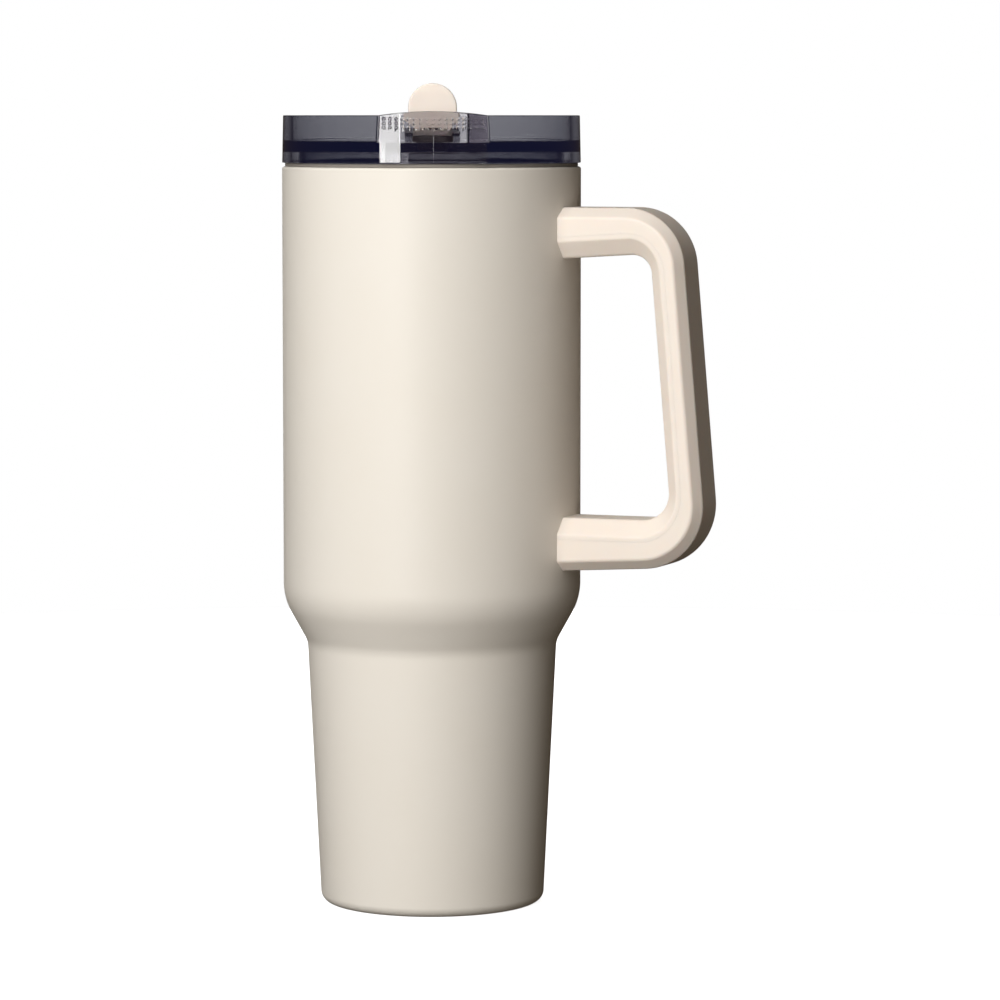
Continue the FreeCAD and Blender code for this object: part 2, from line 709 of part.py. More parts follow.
def make_screws():
    """Two equal pan-head screws driven upwards, each with a cross recess in its head."""
    screws = []
    reach, head, head_height = screw_place, cell("head_radius"), cell("head_height")
    slot, arm, bite = head * CROSS_SLOT, head * CROSS_ARM, head_height * CROSS_DEPTH
    for word, upper in (("upper", True), ("lower", False)):
        seat = head_seat(upper)
        bottom = seat - head_height
        solid = fuse(word + "_screw_solid",
                     cylinder(word + "_screw_head", head, head_height, (reach, ZERO, bottom)),
                     cylinder(word + "_screw_shank", cell("screw_radius"), cell("screw_length"),
                              (reach, ZERO, seat)))
        cross = fuse(word + "_screw_cross",
                     box(word + "_cross_one", (reach - arm, -slot, bottom - PAST),
                         (reach + arm, slot, bottom + bite)),
                     box(word + "_cross_two", (reach - slot, -arm, bottom - PAST),
                         (reach + slot, arm, bottom + bite)))
        screws.append(cut(word + "_screw", solid, cross))
    publish(grouped("screw_pair", screws), "handle_screws")


# ---------------------------------------------------------------- lid
turn = cell("lid_turn")
lid_top = rim + cell("lid_height")
deck_top = lid_top - cell("deck_drop")
deck_bottom = deck_top - cell("deck_thickness")
lid_foot = rim + cell("seat_gap") + cell("seal_flange")
spigot = mouth_radius - cell("seal_space")
spout_face = body_radius - cell("spout_face_inset")
spout_back = spout_face - cell("spout_depth")
hinge_height = deck_top + cell("hinge_rise")
hinge_offset = spout_back - cell("hinge_setback")
hinge_place = -hinge_offset
opening_place = hinge_place - cell("opening_ahead")
lug_inside = cell("stem_width") / 2 + cell("lug_gap")
lug_outside = lug_inside + cell("lug_thickness")


def spout_silhouette(name, margin, back):
    """The spout seen from the front, wider at the bottom, padded outwards from back and grown by margin."""
    top, bottom = cell("spout_width_top") / 2, cell("spout_width_bottom") / 2
    high = lid_top + cell("spout_rise") + margin
    low = lid_foot - margin
    corners = [(bottom + margin, low), (top + margin, high), (-(top + margin), high), (-(bottom + margin), low)]
    return padded(name, "XZ_Plane", corners, body_radius * 1.2 - back, lift=back)


def rounded_block(name, width, length, middle, height, low, corner, downwards=False, bevel=None):
    """A block on Y = middle with rounded upright edges, run up or down from low, its far end bevelled."""
    half = width / 2
    near, far = middle - length / 2, middle + length / 2
    body = padded(name, "XY_Plane", [(-half, near), (half, near), (half, far), (-half, far)], height, lift=low,
                  reverse=downwards)
    edges = []
    for across in (-half, half):
        for along in (near, far):
            edges += line_edges(body, across, along, along="Z")
    round_edges(body, edges, corner, name + "_corners")
    if bevel is not None:
        low_face = min(range(len(body.Shape.Faces)), key=lambda i: body.Shape.Faces[i].CenterOfMass.z)
        chamfer = body.newObject("PartDesign::Chamfer", name + "_bevel")
        chamfer.Base = (chamfer.BaseFeature, [f"Face{low_face + 1}"])
        bind(chamfer, Size=bevel)
        doc.recompute()
    return body


def make_lid_body():
    """Cup-shaped moulding: wall, recessed deck and spigot, with lugs for the hinge pin."""
    top_radius, bottom_radius = body_radius - cell("lid_top_inset"), body_radius - cell("lid_bottom_inset")
    wall = cell("lid_wall")
    spigot_low = rim - cell("spigot_depth")
    bead_top = spigot_low + cell("bead_depth")
    bead_radius = spigot + cell("spigot_bead")
    bore = spigot - cell("spigot_wall")
    body = revolved("lid_cup", [
        (bottom_radius, lid_foot), (top_radius, lid_top), (top_radius - wall, lid_top),
        (top_radius - wall, deck_top), (ZERO, deck_top), (ZERO, deck_bottom), (bore, deck_bottom),
        (bore, spigot_low), (bead_radius, spigot_low), (bead_radius, bead_top), (spigot, bead_top),
        (spigot, deck_bottom), (bottom_radius - wall, deck_bottom), (bottom_radius - wall, lid_foot)])
    round_edges(body, ring_edges(body, top_radius - wall, deck_top), cell("recess_round"), "recess_bowl")

    fit = cell("spout_fit")
    front_wall = spout_face - cell("spout_wall")
    slot = spout_silhouette("lid_slot", fit, front_wall - fit)
    pocket = spout_silhouette("lid_spout_pocket", fit, spout_back - fit)
    above_deck = box("above_deck", (-body_radius, -body_radius * 2, deck_top),
                     (body_radius, ZERO, lid_top + cell("spout_rise") * 2))
    seat = fuse("lid_spout_seat", slot, common("lid_spout_pocket_high", pocket, above_deck))

    radius = cell("lug_radius")
    lugs = []
    for side, low, high in (("left", -lug_outside, -lug_inside), ("right", lug_inside, lug_outside)):
        lugs.append(box(side + "_lug", (low, hinge_place - radius, deck_top - PAST),
                        (high, hinge_place + radius, hinge_height)))
        lugs.append(cylinder(side + "_lug_top", radius, cell("lug_thickness"), (low, hinge_place, hinge_height),
                             AXIS_X))
    pin_hole = cylinder("lid_pin_hole", cell("pin_radius"), cell("pin_length"),
                        (-(cell("pin_length") / 2), hinge_place, hinge_height), AXIS_X)
    opening = rounded_block("drink_opening", cell("opening_width"), cell("opening_length"), opening_place,
                            cell("deck_thickness") + PAST * 2, deck_bottom - PAST,
                            cell("opening_corner"))
    vent = cylinder("lid_vent", cell("vent_radius"), cell("deck_thickness") + PAST * 2,
                    (ZERO, cell("vent_offset"), deck_bottom - PAST))
    cup = cut("lid_cup_slotted", body, seat)
    publish(cut("lid_cup_finished", fuse("lid_with_lugs", cup, *lugs),
                fuse("lid_holes", pin_hole, opening, vent)), "lid_body", turn)


def make_lid_seal():
    """Silicone ring: a flange between rim and lid, and a skirt on the spigot with three lips."""
    flange, flange_top = body_radius - cell("seal_flange_inset"), lid_foot
    flange_low = flange_top - cell("seal_flange")
    skirt = spigot + cell("seal_skirt")
    lips = mouth_radius - cell("seal_fit")
    low = rim - cell("spigot_depth") + cell("bead_depth")
    height, pitch = cell("seal_lip"), (flange_low - low) / LIPS
    corners = [(spigot, flange_top), (flange, flange_top), (flange, flange_low), (skirt, flange_low)]
    for number in range(LIPS):
        root = flange_low - pitch * (number + 0.5)
        corners += [(skirt, root), (lips, root - height * LIP_START), (lips, root - height * LIP_END),
                    (skirt, root - height)]
    corners += [(skirt, low), (spigot, low)]
    publish(revolved("lid_seal", corners), "lid_seal", turn)


def make_spout_insert():
    """Clear block in the lid's wall with a raised lip and a channel behind its front wall."""
    round_face = cell("spout_face_radius")
    half_width, rise = cell("spout_width_top") / 2, cell("spout_rise")
    block = spout_silhouette("spout_block", ZERO, spout_back)
    front = cylinder("spout_front", round_face, rim, (ZERO, round_face - spout_face, rim / 2))
    # the lip is an arc through both top corners and the raised middle
    arc = (half_width * half_width + rise * rise) / (rise * 2)
    lip = cylinder("spout_lip", arc, body_radius * 2, (ZERO, ZERO, lid_top + rise - arc), -AXIS_Y)
    shaped = common("spout_shaped", block, front, lip)
    half_channel = cell("spout_channel") / 2
    inner_face = cell("spout_wall") - spout_face
    channel = box("spout_channel", (-half_channel, inner_face, deck_top), (half_channel, ZERO, lid_top + rise * 2))
    underside = box("spout_underside", (-body_radius, inner_face, lid_foot - PAST), (body_radius, ZERO, deck_top))
    publish(cut("spout_cut", shaped, fuse("spout_cuts", channel, underside)), "spout_insert", turn)


# ---------------------------------------------------------------- flip tab
def make_tab():
    """L-shaped lever on a steel pin: upright tab, barrel and a foot that carries the silicone stopper."""
    half_pin = cell("pin_length") / 2
    rod = cylinder("pin_rod", cell("pin_radius"), cell("pin_length"), (-half_pin, hinge_place, hinge_height),
                   AXIS_X)
    publish(grouped("pin_group", [rod]), "hinge_pin", turn)

    head, stem, thick = cell("tab_width") / 2, cell("stem_width") / 2, cell("tab_thickness")
    widen = hinge_height + cell("stem_rise")
    full = widen + cell("stem_flare")
    head_middle = hinge_height + cell("tab_rise") - head
    plate = padded("tab_plate", "XZ_Plane", [
        (-stem, hinge_height), (stem, hinge_height), (stem, widen), (head, full), (head, head_middle),
        (-head, head_middle), (-head, full), (-stem, widen)], thick, lift=hinge_offset - thick / 2)
    disc = cylinder("tab_head", head, thick, (ZERO, hinge_place + thick / 2, head_middle), -AXIS_Y)
    barrel = cylinder("tab_barrel", cell("barrel_radius"), cell("stem_width"), (-stem, hinge_place, hinge_height),
                      AXIS_X)
    foot_top = hinge_height + cell("foot_rise")
    foot = box("tab_foot", (-stem, hinge_place - cell("foot_length"), foot_top - cell("foot_thickness")),
               (stem, hinge_place, foot_top))
    pin_hole = cylinder("tab_pin_hole", cell("pin_radius") + cell("pin_run"), cell("pin_length"),
                        (-half_pin, hinge_place, hinge_height), AXIS_X)
    neck_hole = cylinder("tab_neck_hole", cell("neck_radius"), cell("foot_thickness") * 3,
                         (ZERO, opening_place, foot_top - cell("foot_thickness") * 2))
    publish(cut("tab_finished", fuse("tab_solid", plate, disc, barrel, foot),
                fuse("tab_holes", pin_hole, neck_hole)), "flip_tab", turn)

    fit, overlap = cell("plug_fit"), cell("flange_overlap")
    flange_low = deck_top + cell("stopper_gap")
    foot_low = foot_top - cell("foot_thickness")
    corner = cell("opening_corner")
    plug = rounded_block("stopper_plug", cell("opening_width") - fit * 2, cell("opening_length") - fit * 2,
                         opening_place, cell("plug_depth"), flange_low, corner - fit, downwards=True,
                         bevel=cell("plug_bevel"))
    flange = rounded_block("stopper_flange", cell("opening_width") + overlap * 2,
                           cell("opening_length") + overlap * 2, opening_place, foot_low - flange_low, flange_low,
                           corner + overlap)
    neck = cylinder("stopper_neck", cell("neck_radius"), cell("foot_thickness") + PAST,
                    (ZERO, opening_place, foot_low - PAST))
    button = cylinder("stopper_button", cell("button_radius"), cell("button_height"),
                      (ZERO, opening_place, foot_top))
    publish(fuse("stopper_solid", plug, flange, neck, button), "tab_stopper", turn)


make_outer_shell()
make_inner_liner()
make_liner_bottom()
make_vacuum_bottom()
make_base_cover()
make_brackets()
make_handle()
make_screws()
make_lid_body()
make_lid_seal()
make_spout_insert()
make_tab()
doc.recompute()

# ---------------------------------------------------------------- check and write
for item in doc.Objects:
    if "Invalid" in item.State or "Error" in item.State:
        raise RuntimeError(f"{item.Name} failed: {item.State}")
for node, item in nodes.items():
    shape = item.Shape
    if shape.isNull() or not shape.isValid() or not shape.Solids:
        raise RuntimeError(f"{node} has no valid solid")
    print(f"{node:22s} {len(shape.Solids)} solid(s) {shape.Volume:10.1f} mm3")
for node, item in nodes.items():
    item.Shape.exportStep(os.path.join("parts", f"{node}.step"))
print(len(nodes), "nodes written")
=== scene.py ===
"""Looks of an insulated tumbler: powder-coated vessel, bevelled side handle and smoked press-in lid.

Every length is in millimetres until it reaches a mesh, where MM turns it to metres. Angles are in degrees
unless a docstring says otherwise. The vessel's axis is Z, the handle points along +X, and the lid's own front,
where its spout is, is -Y turned by LID_TURN about Z.
"""
import logging
import math
from dataclasses import dataclass
from enum import Enum
from typing import Optional, Sequence

import bmesh
import bpy
import numpy as np
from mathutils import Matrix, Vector


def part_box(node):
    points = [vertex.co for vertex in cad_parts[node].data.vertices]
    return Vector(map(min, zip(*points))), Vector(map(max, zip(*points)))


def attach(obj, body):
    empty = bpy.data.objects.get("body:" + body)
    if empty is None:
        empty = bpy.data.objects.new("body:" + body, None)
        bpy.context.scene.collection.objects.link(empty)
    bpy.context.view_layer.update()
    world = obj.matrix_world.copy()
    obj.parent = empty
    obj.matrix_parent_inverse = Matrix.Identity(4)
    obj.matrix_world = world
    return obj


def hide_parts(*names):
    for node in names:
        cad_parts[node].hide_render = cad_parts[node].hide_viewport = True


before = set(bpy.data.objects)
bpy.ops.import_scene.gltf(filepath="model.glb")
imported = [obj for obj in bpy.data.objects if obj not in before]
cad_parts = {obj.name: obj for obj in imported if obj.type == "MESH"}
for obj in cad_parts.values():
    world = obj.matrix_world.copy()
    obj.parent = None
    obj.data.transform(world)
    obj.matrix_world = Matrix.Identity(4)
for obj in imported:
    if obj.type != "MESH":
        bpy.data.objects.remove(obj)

MM = 0.001
LID_TURN = 22.5
LOG = logging.getLogger("tumbler")

MERGE = 1e-7            # metres: points nearer than this become one
COLLAPSE = 1e-8         # metres: shorter edges are dropped
STRAIGHT = 2e-4         # radians: a corner that turns less than this isn't rounded
SIDE_SHARE = 0.49       # the most of a side that one corner's arc may take
FACE_RING = 0.15        # how far inside its rounded edge a flat face has a ring of points of its own
FINE_CUT = 0.02         # edge radius of a cutting block that leaves a sharp edge
CREASE = 32.0           # edges that turn more than this stay crisp


class Body(Enum):
    """The rigid bodies that pieces ride on."""

    VESSEL = "vessel"
    LID = "lid"
    TAB = "tab"


class Plane(Enum):
    """The plane that a flat outline is drawn in, given as the order of (across, up, through)."""

    FRONT = (0, 2, 1)
    TOP = (0, 1, 2)


# ---------------------------------------------------------------- sizes read from the frame
def node_low(node: str) -> np.ndarray:
    """Lowest corner of a CAD node in millimetres."""
    return np.array(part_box(node)[0]) / MM


def node_high(node: str) -> np.ndarray:
    """Highest corner of a CAD node in millimetres."""
    return np.array(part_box(node)[1]) / MM


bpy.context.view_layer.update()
RIM = float(node_high("outer_shell")[2])
SHELL_RADIUS = float(node_high("outer_shell")[1])
LID_FOOT = float(node_high("lid_seal")[2])


# ---------------------------------------------------------------- outlines
@dataclass(frozen=True)
class Arc:
    """An arc that rounds one corner; its first and last point are given from its centre."""

    centre: np.ndarray
    start: np.ndarray
    end: np.ndarray
    turn: float

    def points(self, share: np.ndarray) -> np.ndarray:
        """Points at shares of the turn.

        A point is the centre plus (sin((1 - share) turn) start + sin(share turn) end) / sin(turn).

        Args:
            share: Shares from 0 at the first point to 1 at the last.

        Returns:
            The points, one row each.
        """
        part = share[:, None] * self.turn
        swept = np.sin(self.turn - part) * self.start + np.sin(part) * self.end
        return self.centre + swept / math.sin(self.turn)


def corner_arc(before: np.ndarray, corner: np.ndarray, after: np.ndarray, radius: float) -> Optional[Arc]:
    """Fit an arc into a corner.

    The arc's centre lies on the corner's bisector, and its tangent points lie radius / tan(half the corner's
    angle) from the corner, kept under half of the shorter side.

    Args:
        before: The point before the corner.
        corner: The corner.
        after: The point after it.
        radius: Radius of the arc.

    Returns:
        The arc, or nothing where the path runs straight on.
    """
    back, ahead = before - corner, after - corner
    back_length, ahead_length = np.linalg.norm(back), np.linalg.norm(ahead)
    back, ahead = back / back_length, ahead / ahead_length
    half = math.acos(float(np.clip(back @ ahead, -1, 1))) / 2
    turn = math.pi - 2 * half
    if turn < STRAIGHT:
        return None
    reach = min(radius / math.tan(half), SIDE_SHARE * min(back_length, ahead_length))
    bisector = (back + ahead) / np.linalg.norm(back + ahead)
    inwards = bisector * reach * math.tan(half) / math.sin(half)
    return Arc(corner + inwards, back * reach - inwards, ahead * reach - inwards, turn)


def rounded(corners: Sequence[Sequence[float]], radii: Sequence[float], closed: bool = True,
            step: float = 7.0, fixed: int = 0) -> np.ndarray:
    """Replace each corner of a path by a tangent arc.

    Args:
        corners: Corner points in the plane.
        radii: Radius at each corner, 0 for a sharp one.
        closed: Whether the last corner joins the first.
        step: Largest turn between points of an arc.
        fixed: Number of steps in every arc, or 0 to go by step.

    Returns:
        The rounded path's points, one row each.
    """
    points = np.asarray(corners, dtype=float)
    count = len(points)
    path = []
    for i, corner in enumerate(points):
        sharp = radii[i] <= 0 or (not closed and i in (0, count - 1))
        arc = None if sharp else corner_arc(points[i - 1], corner, points[(i + 1) % count], radii[i])
        if arc is None:
            path.append(corner[None, :])
            continue
        steps = fixed or max(2, int(math.degrees(arc.turn) / step) + 1)
        path.append(arc.points(np.linspace(0, 1, steps + 1)))
    return np.concatenate(path)


def braced(path: np.ndarray, gap: float) -> np.ndarray:
    """Add a point near both ends of each long straight side, so that smooth shading stays on the corners.

    Args:
        path: Points of a closed outline.
        gap: Distance of the added points from the side's ends.

    Returns:
        The path with the added points.
    """
    side = np.roll(path, -1, axis=0) - path
    lengths = np.linalg.norm(side, axis=1)
    long = lengths > 4 * gap
    share = (gap / np.maximum(lengths, 4 * gap))[:, None]
    candidates = np.stack([path, path + side * share, path + side * (1 - share)], axis=1)
    return candidates[np.stack([np.ones_like(long), long, long], axis=1)]


def rectangle(half_width: float, low: float, high: float) -> list[tuple[float, float]]:
    """Corners of a rectangle that is centred across and runs from low to high."""
    return [(-half_width, low), (half_width, low), (half_width, high), (-half_width, high)]


# ---------------------------------------------------------------- meshes
def weld(mesh: bpy.types.Mesh, merge: float, collapse: float, outwards: bool) -> None:
    """Merge doubled points and drop collapsed edges.

    Args:
        mesh: The mesh that is changed.
        merge: Distance in metres under which points become one.
        collapse: Length in metres under which edges are dropped.
        outwards: Whether every face is turned outwards as well.
    """
    work = bmesh.new()
    work.from_mesh(mesh)
    bmesh.ops.remove_doubles(work, verts=work.verts, dist=merge)
    bmesh.ops.dissolve_degenerate(work, edges=work.edges, dist=collapse)
    if outwards:
        bmesh.ops.recalc_face_normals(work, faces=work.faces)
    work.to_mesh(mesh)
    work.free()


def mesh_object(name: str, verts: np.ndarray, faces: Sequence[Sequence[int]]) -> bpy.types.Object:
    """Make an object from points in millimetres and faces, merged, closed and facing outwards.

    Args:
        name: Name of the object.
        verts: Points in millimetres, one row each.
        faces: Point numbers of each face.

    Returns:
        The new object.
    """
    mesh = bpy.data.meshes.new(name)
    mesh.from_pydata((verts * MM).tolist(), [], faces)
    weld(mesh, MERGE, COLLAPSE, True)
    item = bpy.data.objects.new(name, mesh)
    bpy.context.scene.collection.objects.link(item)
    return item


def smooth(item: bpy.types.Object, angle: float = CREASE) -> bpy.types.Object:
    """Shade an object smooth, with edges sharper than angle kept crisp.

    Args:
        item: The object.
        angle: Turn in degrees past which an edge stays crisp.

    Returns:
        The same object.
    """
    item.data.polygons.foreach_set("use_smooth", np.ones(len(item.data.polygons), dtype=bool))
    item.data.set_sharp_from_angle(angle=math.radians(angle))
    item.data.update()
    return item


def grid_faces(rows: int, columns: int, wrap_rows: bool, wrap_columns: bool) -> np.ndarray:
    """Quads of a rows by columns grid of points numbered row by row.

    Args:
        rows: Rows of points.
        columns: Points in a row.
        wrap_rows: Whether the last row joins the first.
        wrap_columns: Whether each row is a closed loop.

    Returns:
        Four point numbers for each face.
    """
    row = np.arange(rows if wrap_rows else rows - 1)
    column = np.arange(columns if wrap_columns else columns - 1)
    row, column = [part.ravel() for part in np.meshgrid(row, column, indexing="ij")]
    next_row, next_column = (row + 1) % rows, (column + 1) % columns
    return np.stack([row * columns + column, next_row * columns + column,
                     next_row * columns + next_column, row * columns + next_column], axis=1)


def lathe(name: str, profile: np.ndarray, segments: int) -> bpy.types.Object:
    """Turn a closed outline of (radius, height) about Z.

    Point (i, j) is (radius_j cos a_i, radius_j sin a_i, height_j), with a_i in equal steps round the circle.

    Args:
        name: Name of the object.
        profile: Closed outline in millimetres.
        segments: Steps round the circle.

    Returns:
        The new object.
    """
    angle = np.linspace(0, 2 * np.pi, segments, endpoint=False)[:, None]
    radius, height = profile[:, 0][None, :], profile[:, 1][None, :]
    points = np.stack([radius * np.cos(angle), radius * np.sin(angle), height + 0 * angle], axis=-1)
    faces = grid_faces(segments, len(profile), True, True).tolist()
    return smooth(mesh_object(name, points.reshape(-1, 3), faces))


def plate(name: str, outline: np.ndarray, low: float, high: float, edge: float, plane: Plane,
          steps: int = 4) -> bpy.types.Object:
    """A flat piece with rounded edges all round.

    Each layer is the outline moved inwards by edge (1 - cos t) and placed edge (1 - sin t) from the face, for
    t from 0 at the side to a quarter turn at the face. Both faces are closed by a fan about their middle.

    Args:
        name: Name of the object.
        outline: Closed outline, anticlockwise, in millimetres.
        low: Where the piece starts, through its plane.
        high: Where it ends.
        edge: Radius of its edges.
        plane: Plane of the outline.
        steps: Layers in each rounded edge.

    Returns:
        The new object.
    """
    ahead = np.roll(outline, -1, axis=0) - outline
    normal = np.stack([ahead[:, 1], -ahead[:, 0]], axis=1)
    normal /= np.linalg.norm(normal, axis=1)[:, None]
    normal = normal + np.roll(normal, 1, axis=0)
    normal /= np.linalg.norm(normal, axis=1)[:, None]
    quarter = np.linspace(np.pi / 2, 0, steps + 1)
    inset = np.concatenate([edge * (1 - np.cos(quarter)), edge * (1 - np.cos(quarter[::-1]))])
    through = np.concatenate([low + edge * (1 - np.sin(quarter)), high - edge * (1 - np.sin(quarter[::-1]))])
    inset = np.concatenate([[inset[0] + FACE_RING], inset, [inset[-1] + FACE_RING]])
    through = np.concatenate([[low], through, [high]])
    layers = outline[None, :, :] - normal[None, :, :] * inset[:, None, None]
    flat = np.concatenate([layers, np.broadcast_to(through[:, None, None], layers.shape[:2] + (1,))], axis=-1)
    rows, columns = flat.shape[:2]
    middle = outline.mean(axis=0)
    points = np.concatenate([flat.reshape(-1, 3), [[*middle, low], [*middle, high]]])
    step = np.arange(columns)
    following, last = (step + 1) % columns, (rows - 1) * columns
    low_fan = np.stack([step, following, np.full(columns, rows * columns)], axis=1)
    high_fan = np.stack([last + following, last + step, np.full(columns, rows * columns + 1)], axis=1)
    faces = grid_faces(rows, columns, False, True).tolist()
    faces += np.stack([low_fan, high_fan], axis=1).reshape(-1, 3).tolist()
    placed = np.empty_like(points)
    placed[:, list(plane.value)] = points
    return smooth(mesh_object(name, placed, faces))


def combine(target: bpy.types.Object, others: Sequence[bpy.types.Object], operation: str) -> bpy.types.Object:
    """Unite others with target, or cut them out of it, and delete them.

    Args:
        target: The object that is kept.
        others: The objects that are used up.
        operation: UNION or DIFFERENCE.

    Returns:
        The target, with its new mesh.
    """
    for other in others:
        modifier = target.modifiers.new("join", "BOOLEAN")
        modifier.operation = operation
        modifier.solver = "EXACT"
        modifier.object = other
    graph = bpy.context.evaluated_depsgraph_get()
    mesh = bpy.data.meshes.new_from_object(target.evaluated_get(graph), depsgraph=graph)
    target.modifiers.clear()
    target.data = mesh
    for other in others:
        bpy.data.objects.remove(other, do_unlink=True)
    weld(mesh, 2 * MERGE, 10 * COLLAPSE, False)
    return smooth(target)


def turn_lid(item: bpy.types.Object) -> bpy.types.Object:
    """Turn a lid piece's points from the lid's own front to its place on the vessel.

    Args:
        item: The lid piece.

    Returns:
        The same piece.
    """
    count = len(item.data.vertices)
    points = np.empty(count * 3)
    item.data.vertices.foreach_get("co", points)
    points = points.reshape(-1, 3)
    turn = math.radians(LID_TURN)
    cosine, sine = math.cos(turn), math.sin(turn)
    across, along = points[:, 0].copy(), points[:, 1].copy()
    points[:, 0], points[:, 1] = across * cosine - along * sine, across * sine + along * cosine
    item.data.vertices.foreach_set("co", points.ravel())
    item.data.update()
    return item


# ---------------------------------------------------------------- materials
def linear(hex_colour: str, alpha: float = 1.0) -> tuple[float, float, float, float]:
    """Turn an sRGB hex colour such as "#E8DFD0" into linear red, green, blue and alpha.

    Args:
        hex_colour: The colour, with its leading hash.
        alpha: Alpha, passed through.

    Returns:
        Linear red, green, blue and alpha.
    """
    parts = np.array([int(hex_colour[i:i + 2], 16) for i in (1, 3, 5)]) / 255
    values = np.where(parts <= 0.04045, parts / 12.92, ((parts + 0.055) / 1.055) ** 2.4)
    return (*values.tolist(), alpha)


def add_node(tree: bpy.types.NodeTree, kind: str, settings: Optional[dict] = None,
             inputs: Optional[dict] = None) -> bpy.types.Node:
    """Add one node with its settings, and with its inputs set or linked.

    Args:
        tree: The node tree.
        kind: The node's type name.
        settings: Attributes of the node.
        inputs: Socket name or number to a value, or to an output socket that is linked there.

    Returns:
        The new node.
    """
    node = tree.nodes.new(kind)
    for key, value in (settings or {}).items():
        setattr(node, key, value)
    for key, value in (inputs or {}).items():
        if isinstance(value, bpy.types.NodeSocket):
            tree.links.new(value, node.inputs[key])
        else:
            node.inputs[key].default_value = value
    return node


def new_material(name: str) -> tuple[bpy.types.Material, bpy.types.NodeTree, bpy.types.Node,
                                     bpy.types.NodeSocket]:
    """A material with a shader, and the object coordinates that its patterns read.

    Args:
        name: Name of the material.

    Returns:
        The material, its node tree, its shader, and the socket with the object coordinates.
    """
    material = bpy.data.materials.new(name)
    material.use_nodes = True
    tree = material.node_tree
    shader = tree.nodes["Principled BSDF"]
    place = add_node(tree, "ShaderNodeTexCoord").outputs["Object"]
    return material, tree, shader, place


def noise(tree: bpy.types.NodeTree, place: bpy.types.NodeSocket, grain: float, detail: float = 2.0,
          roughness: float = 0.5) -> bpy.types.NodeSocket:
    """Noise whose bumps are about grain millimetres across."""
    node = add_node(tree, "ShaderNodeTexNoise", None,
                    {"Vector": place, "Scale": 1 / (grain * MM), "Detail": detail, "Roughness": roughness})
    return node.outputs[0]


def ramp(tree: bpy.types.NodeTree, value: bpy.types.NodeSocket, low: float,
         high: float) -> bpy.types.NodeSocket:
    """Map a pattern from 0..1 to low..high."""
    node = add_node(tree, "ShaderNodeMapRange", None, {"Value": value, "To Min": low, "To Max": high})
    return node.outputs[0]


@dataclass(frozen=True)
class PowderCoat:
    """Polyester powder coat, sprayed and baked on steel: satin, with melted powder's faint orange peel."""

    colour: str = "#EBE6DE"
    shade: str = "#E8E2D8"
    rough: float = 0.40
    peel: float = 1.1       # real peel is about this wide
    grit: float = 0.28      # drawn coarser than the real 0.1 mm so that it shows

    def make(self) -> bpy.types.Material:
        """Build the material.

        Returns:
            The new material.
        """
        material, tree, shader, place = new_material("powder_coat_cream")
        clouds = noise(tree, place, 26.0, 3.0)
        tint = add_node(tree, "ShaderNodeMix", {"data_type": "RGBA"},
                        {"Factor": clouds, "A": linear(self.colour), "B": linear(self.shade)})
        tree.links.new(tint.outputs["Result"], shader.inputs["Base Color"])
        tree.links.new(ramp(tree, noise(tree, place, 2.2), self.rough - 0.03, self.rough + 0.05),
                       shader.inputs["Roughness"])
        grit = add_node(tree, "ShaderNodeBump", None,
                        {"Strength": 0.10, "Distance": 0.00006, "Height": noise(tree, place, self.grit, 1.0)})
        peel = add_node(tree, "ShaderNodeBump", None,
                        {"Strength": 0.10, "Distance": 0.0001, "Height": noise(tree, place, self.peel, 1.0),
                         "Normal": grit.outputs[0]})
        tree.links.new(peel.outputs[0], shader.inputs["Normal"])
        shader.inputs["IOR"].default_value = 1.5
        return material


@dataclass(frozen=True)
class MouldedPlastic:
    """Polypropylene moulded in a spark-eroded tool: satin, warm, with a fine even grain."""

    name: str = "moulded_polypropylene"
    colour: str = "#F2E8DE"
    shade: str = "#EFE3D8"
    rough: float = 0.42
    grain: float = 0.35     # drawn coarser than the real 0.15 mm so that it shows

    def make(self) -> bpy.types.Material:
        """Build the material.

        Returns:
            The new material.
        """
        material, tree, shader, place = new_material(self.name)
        tint = add_node(tree, "ShaderNodeMix", {"data_type": "RGBA"},
                        {"Factor": noise(tree, place, 18.0), "A": linear(self.colour),
                         "B": linear(self.shade)})
        tree.links.new(tint.outputs["Result"], shader.inputs["Base Color"])
        tree.links.new(ramp(tree, noise(tree, place, 1.6), self.rough - 0.04, self.rough + 0.06),
                       shader.inputs["Roughness"])
        bump = add_node(tree, "ShaderNodeBump", None,
                        {"Strength": 0.12, "Distance": 0.00005,
                         "Height": noise(tree, place, self.grain, 2.0)})
        tree.links.new(bump.outputs[0], shader.inputs["Normal"])
        shader.inputs["IOR"].default_value = 1.49
        shader.inputs["Subsurface Weight"].default_value = 0.15
        shader.inputs["Subsurface Radius"].default_value = (1.0, 0.6, 0.4)
        shader.inputs["Subsurface Scale"].default_value = 0.002
        return material


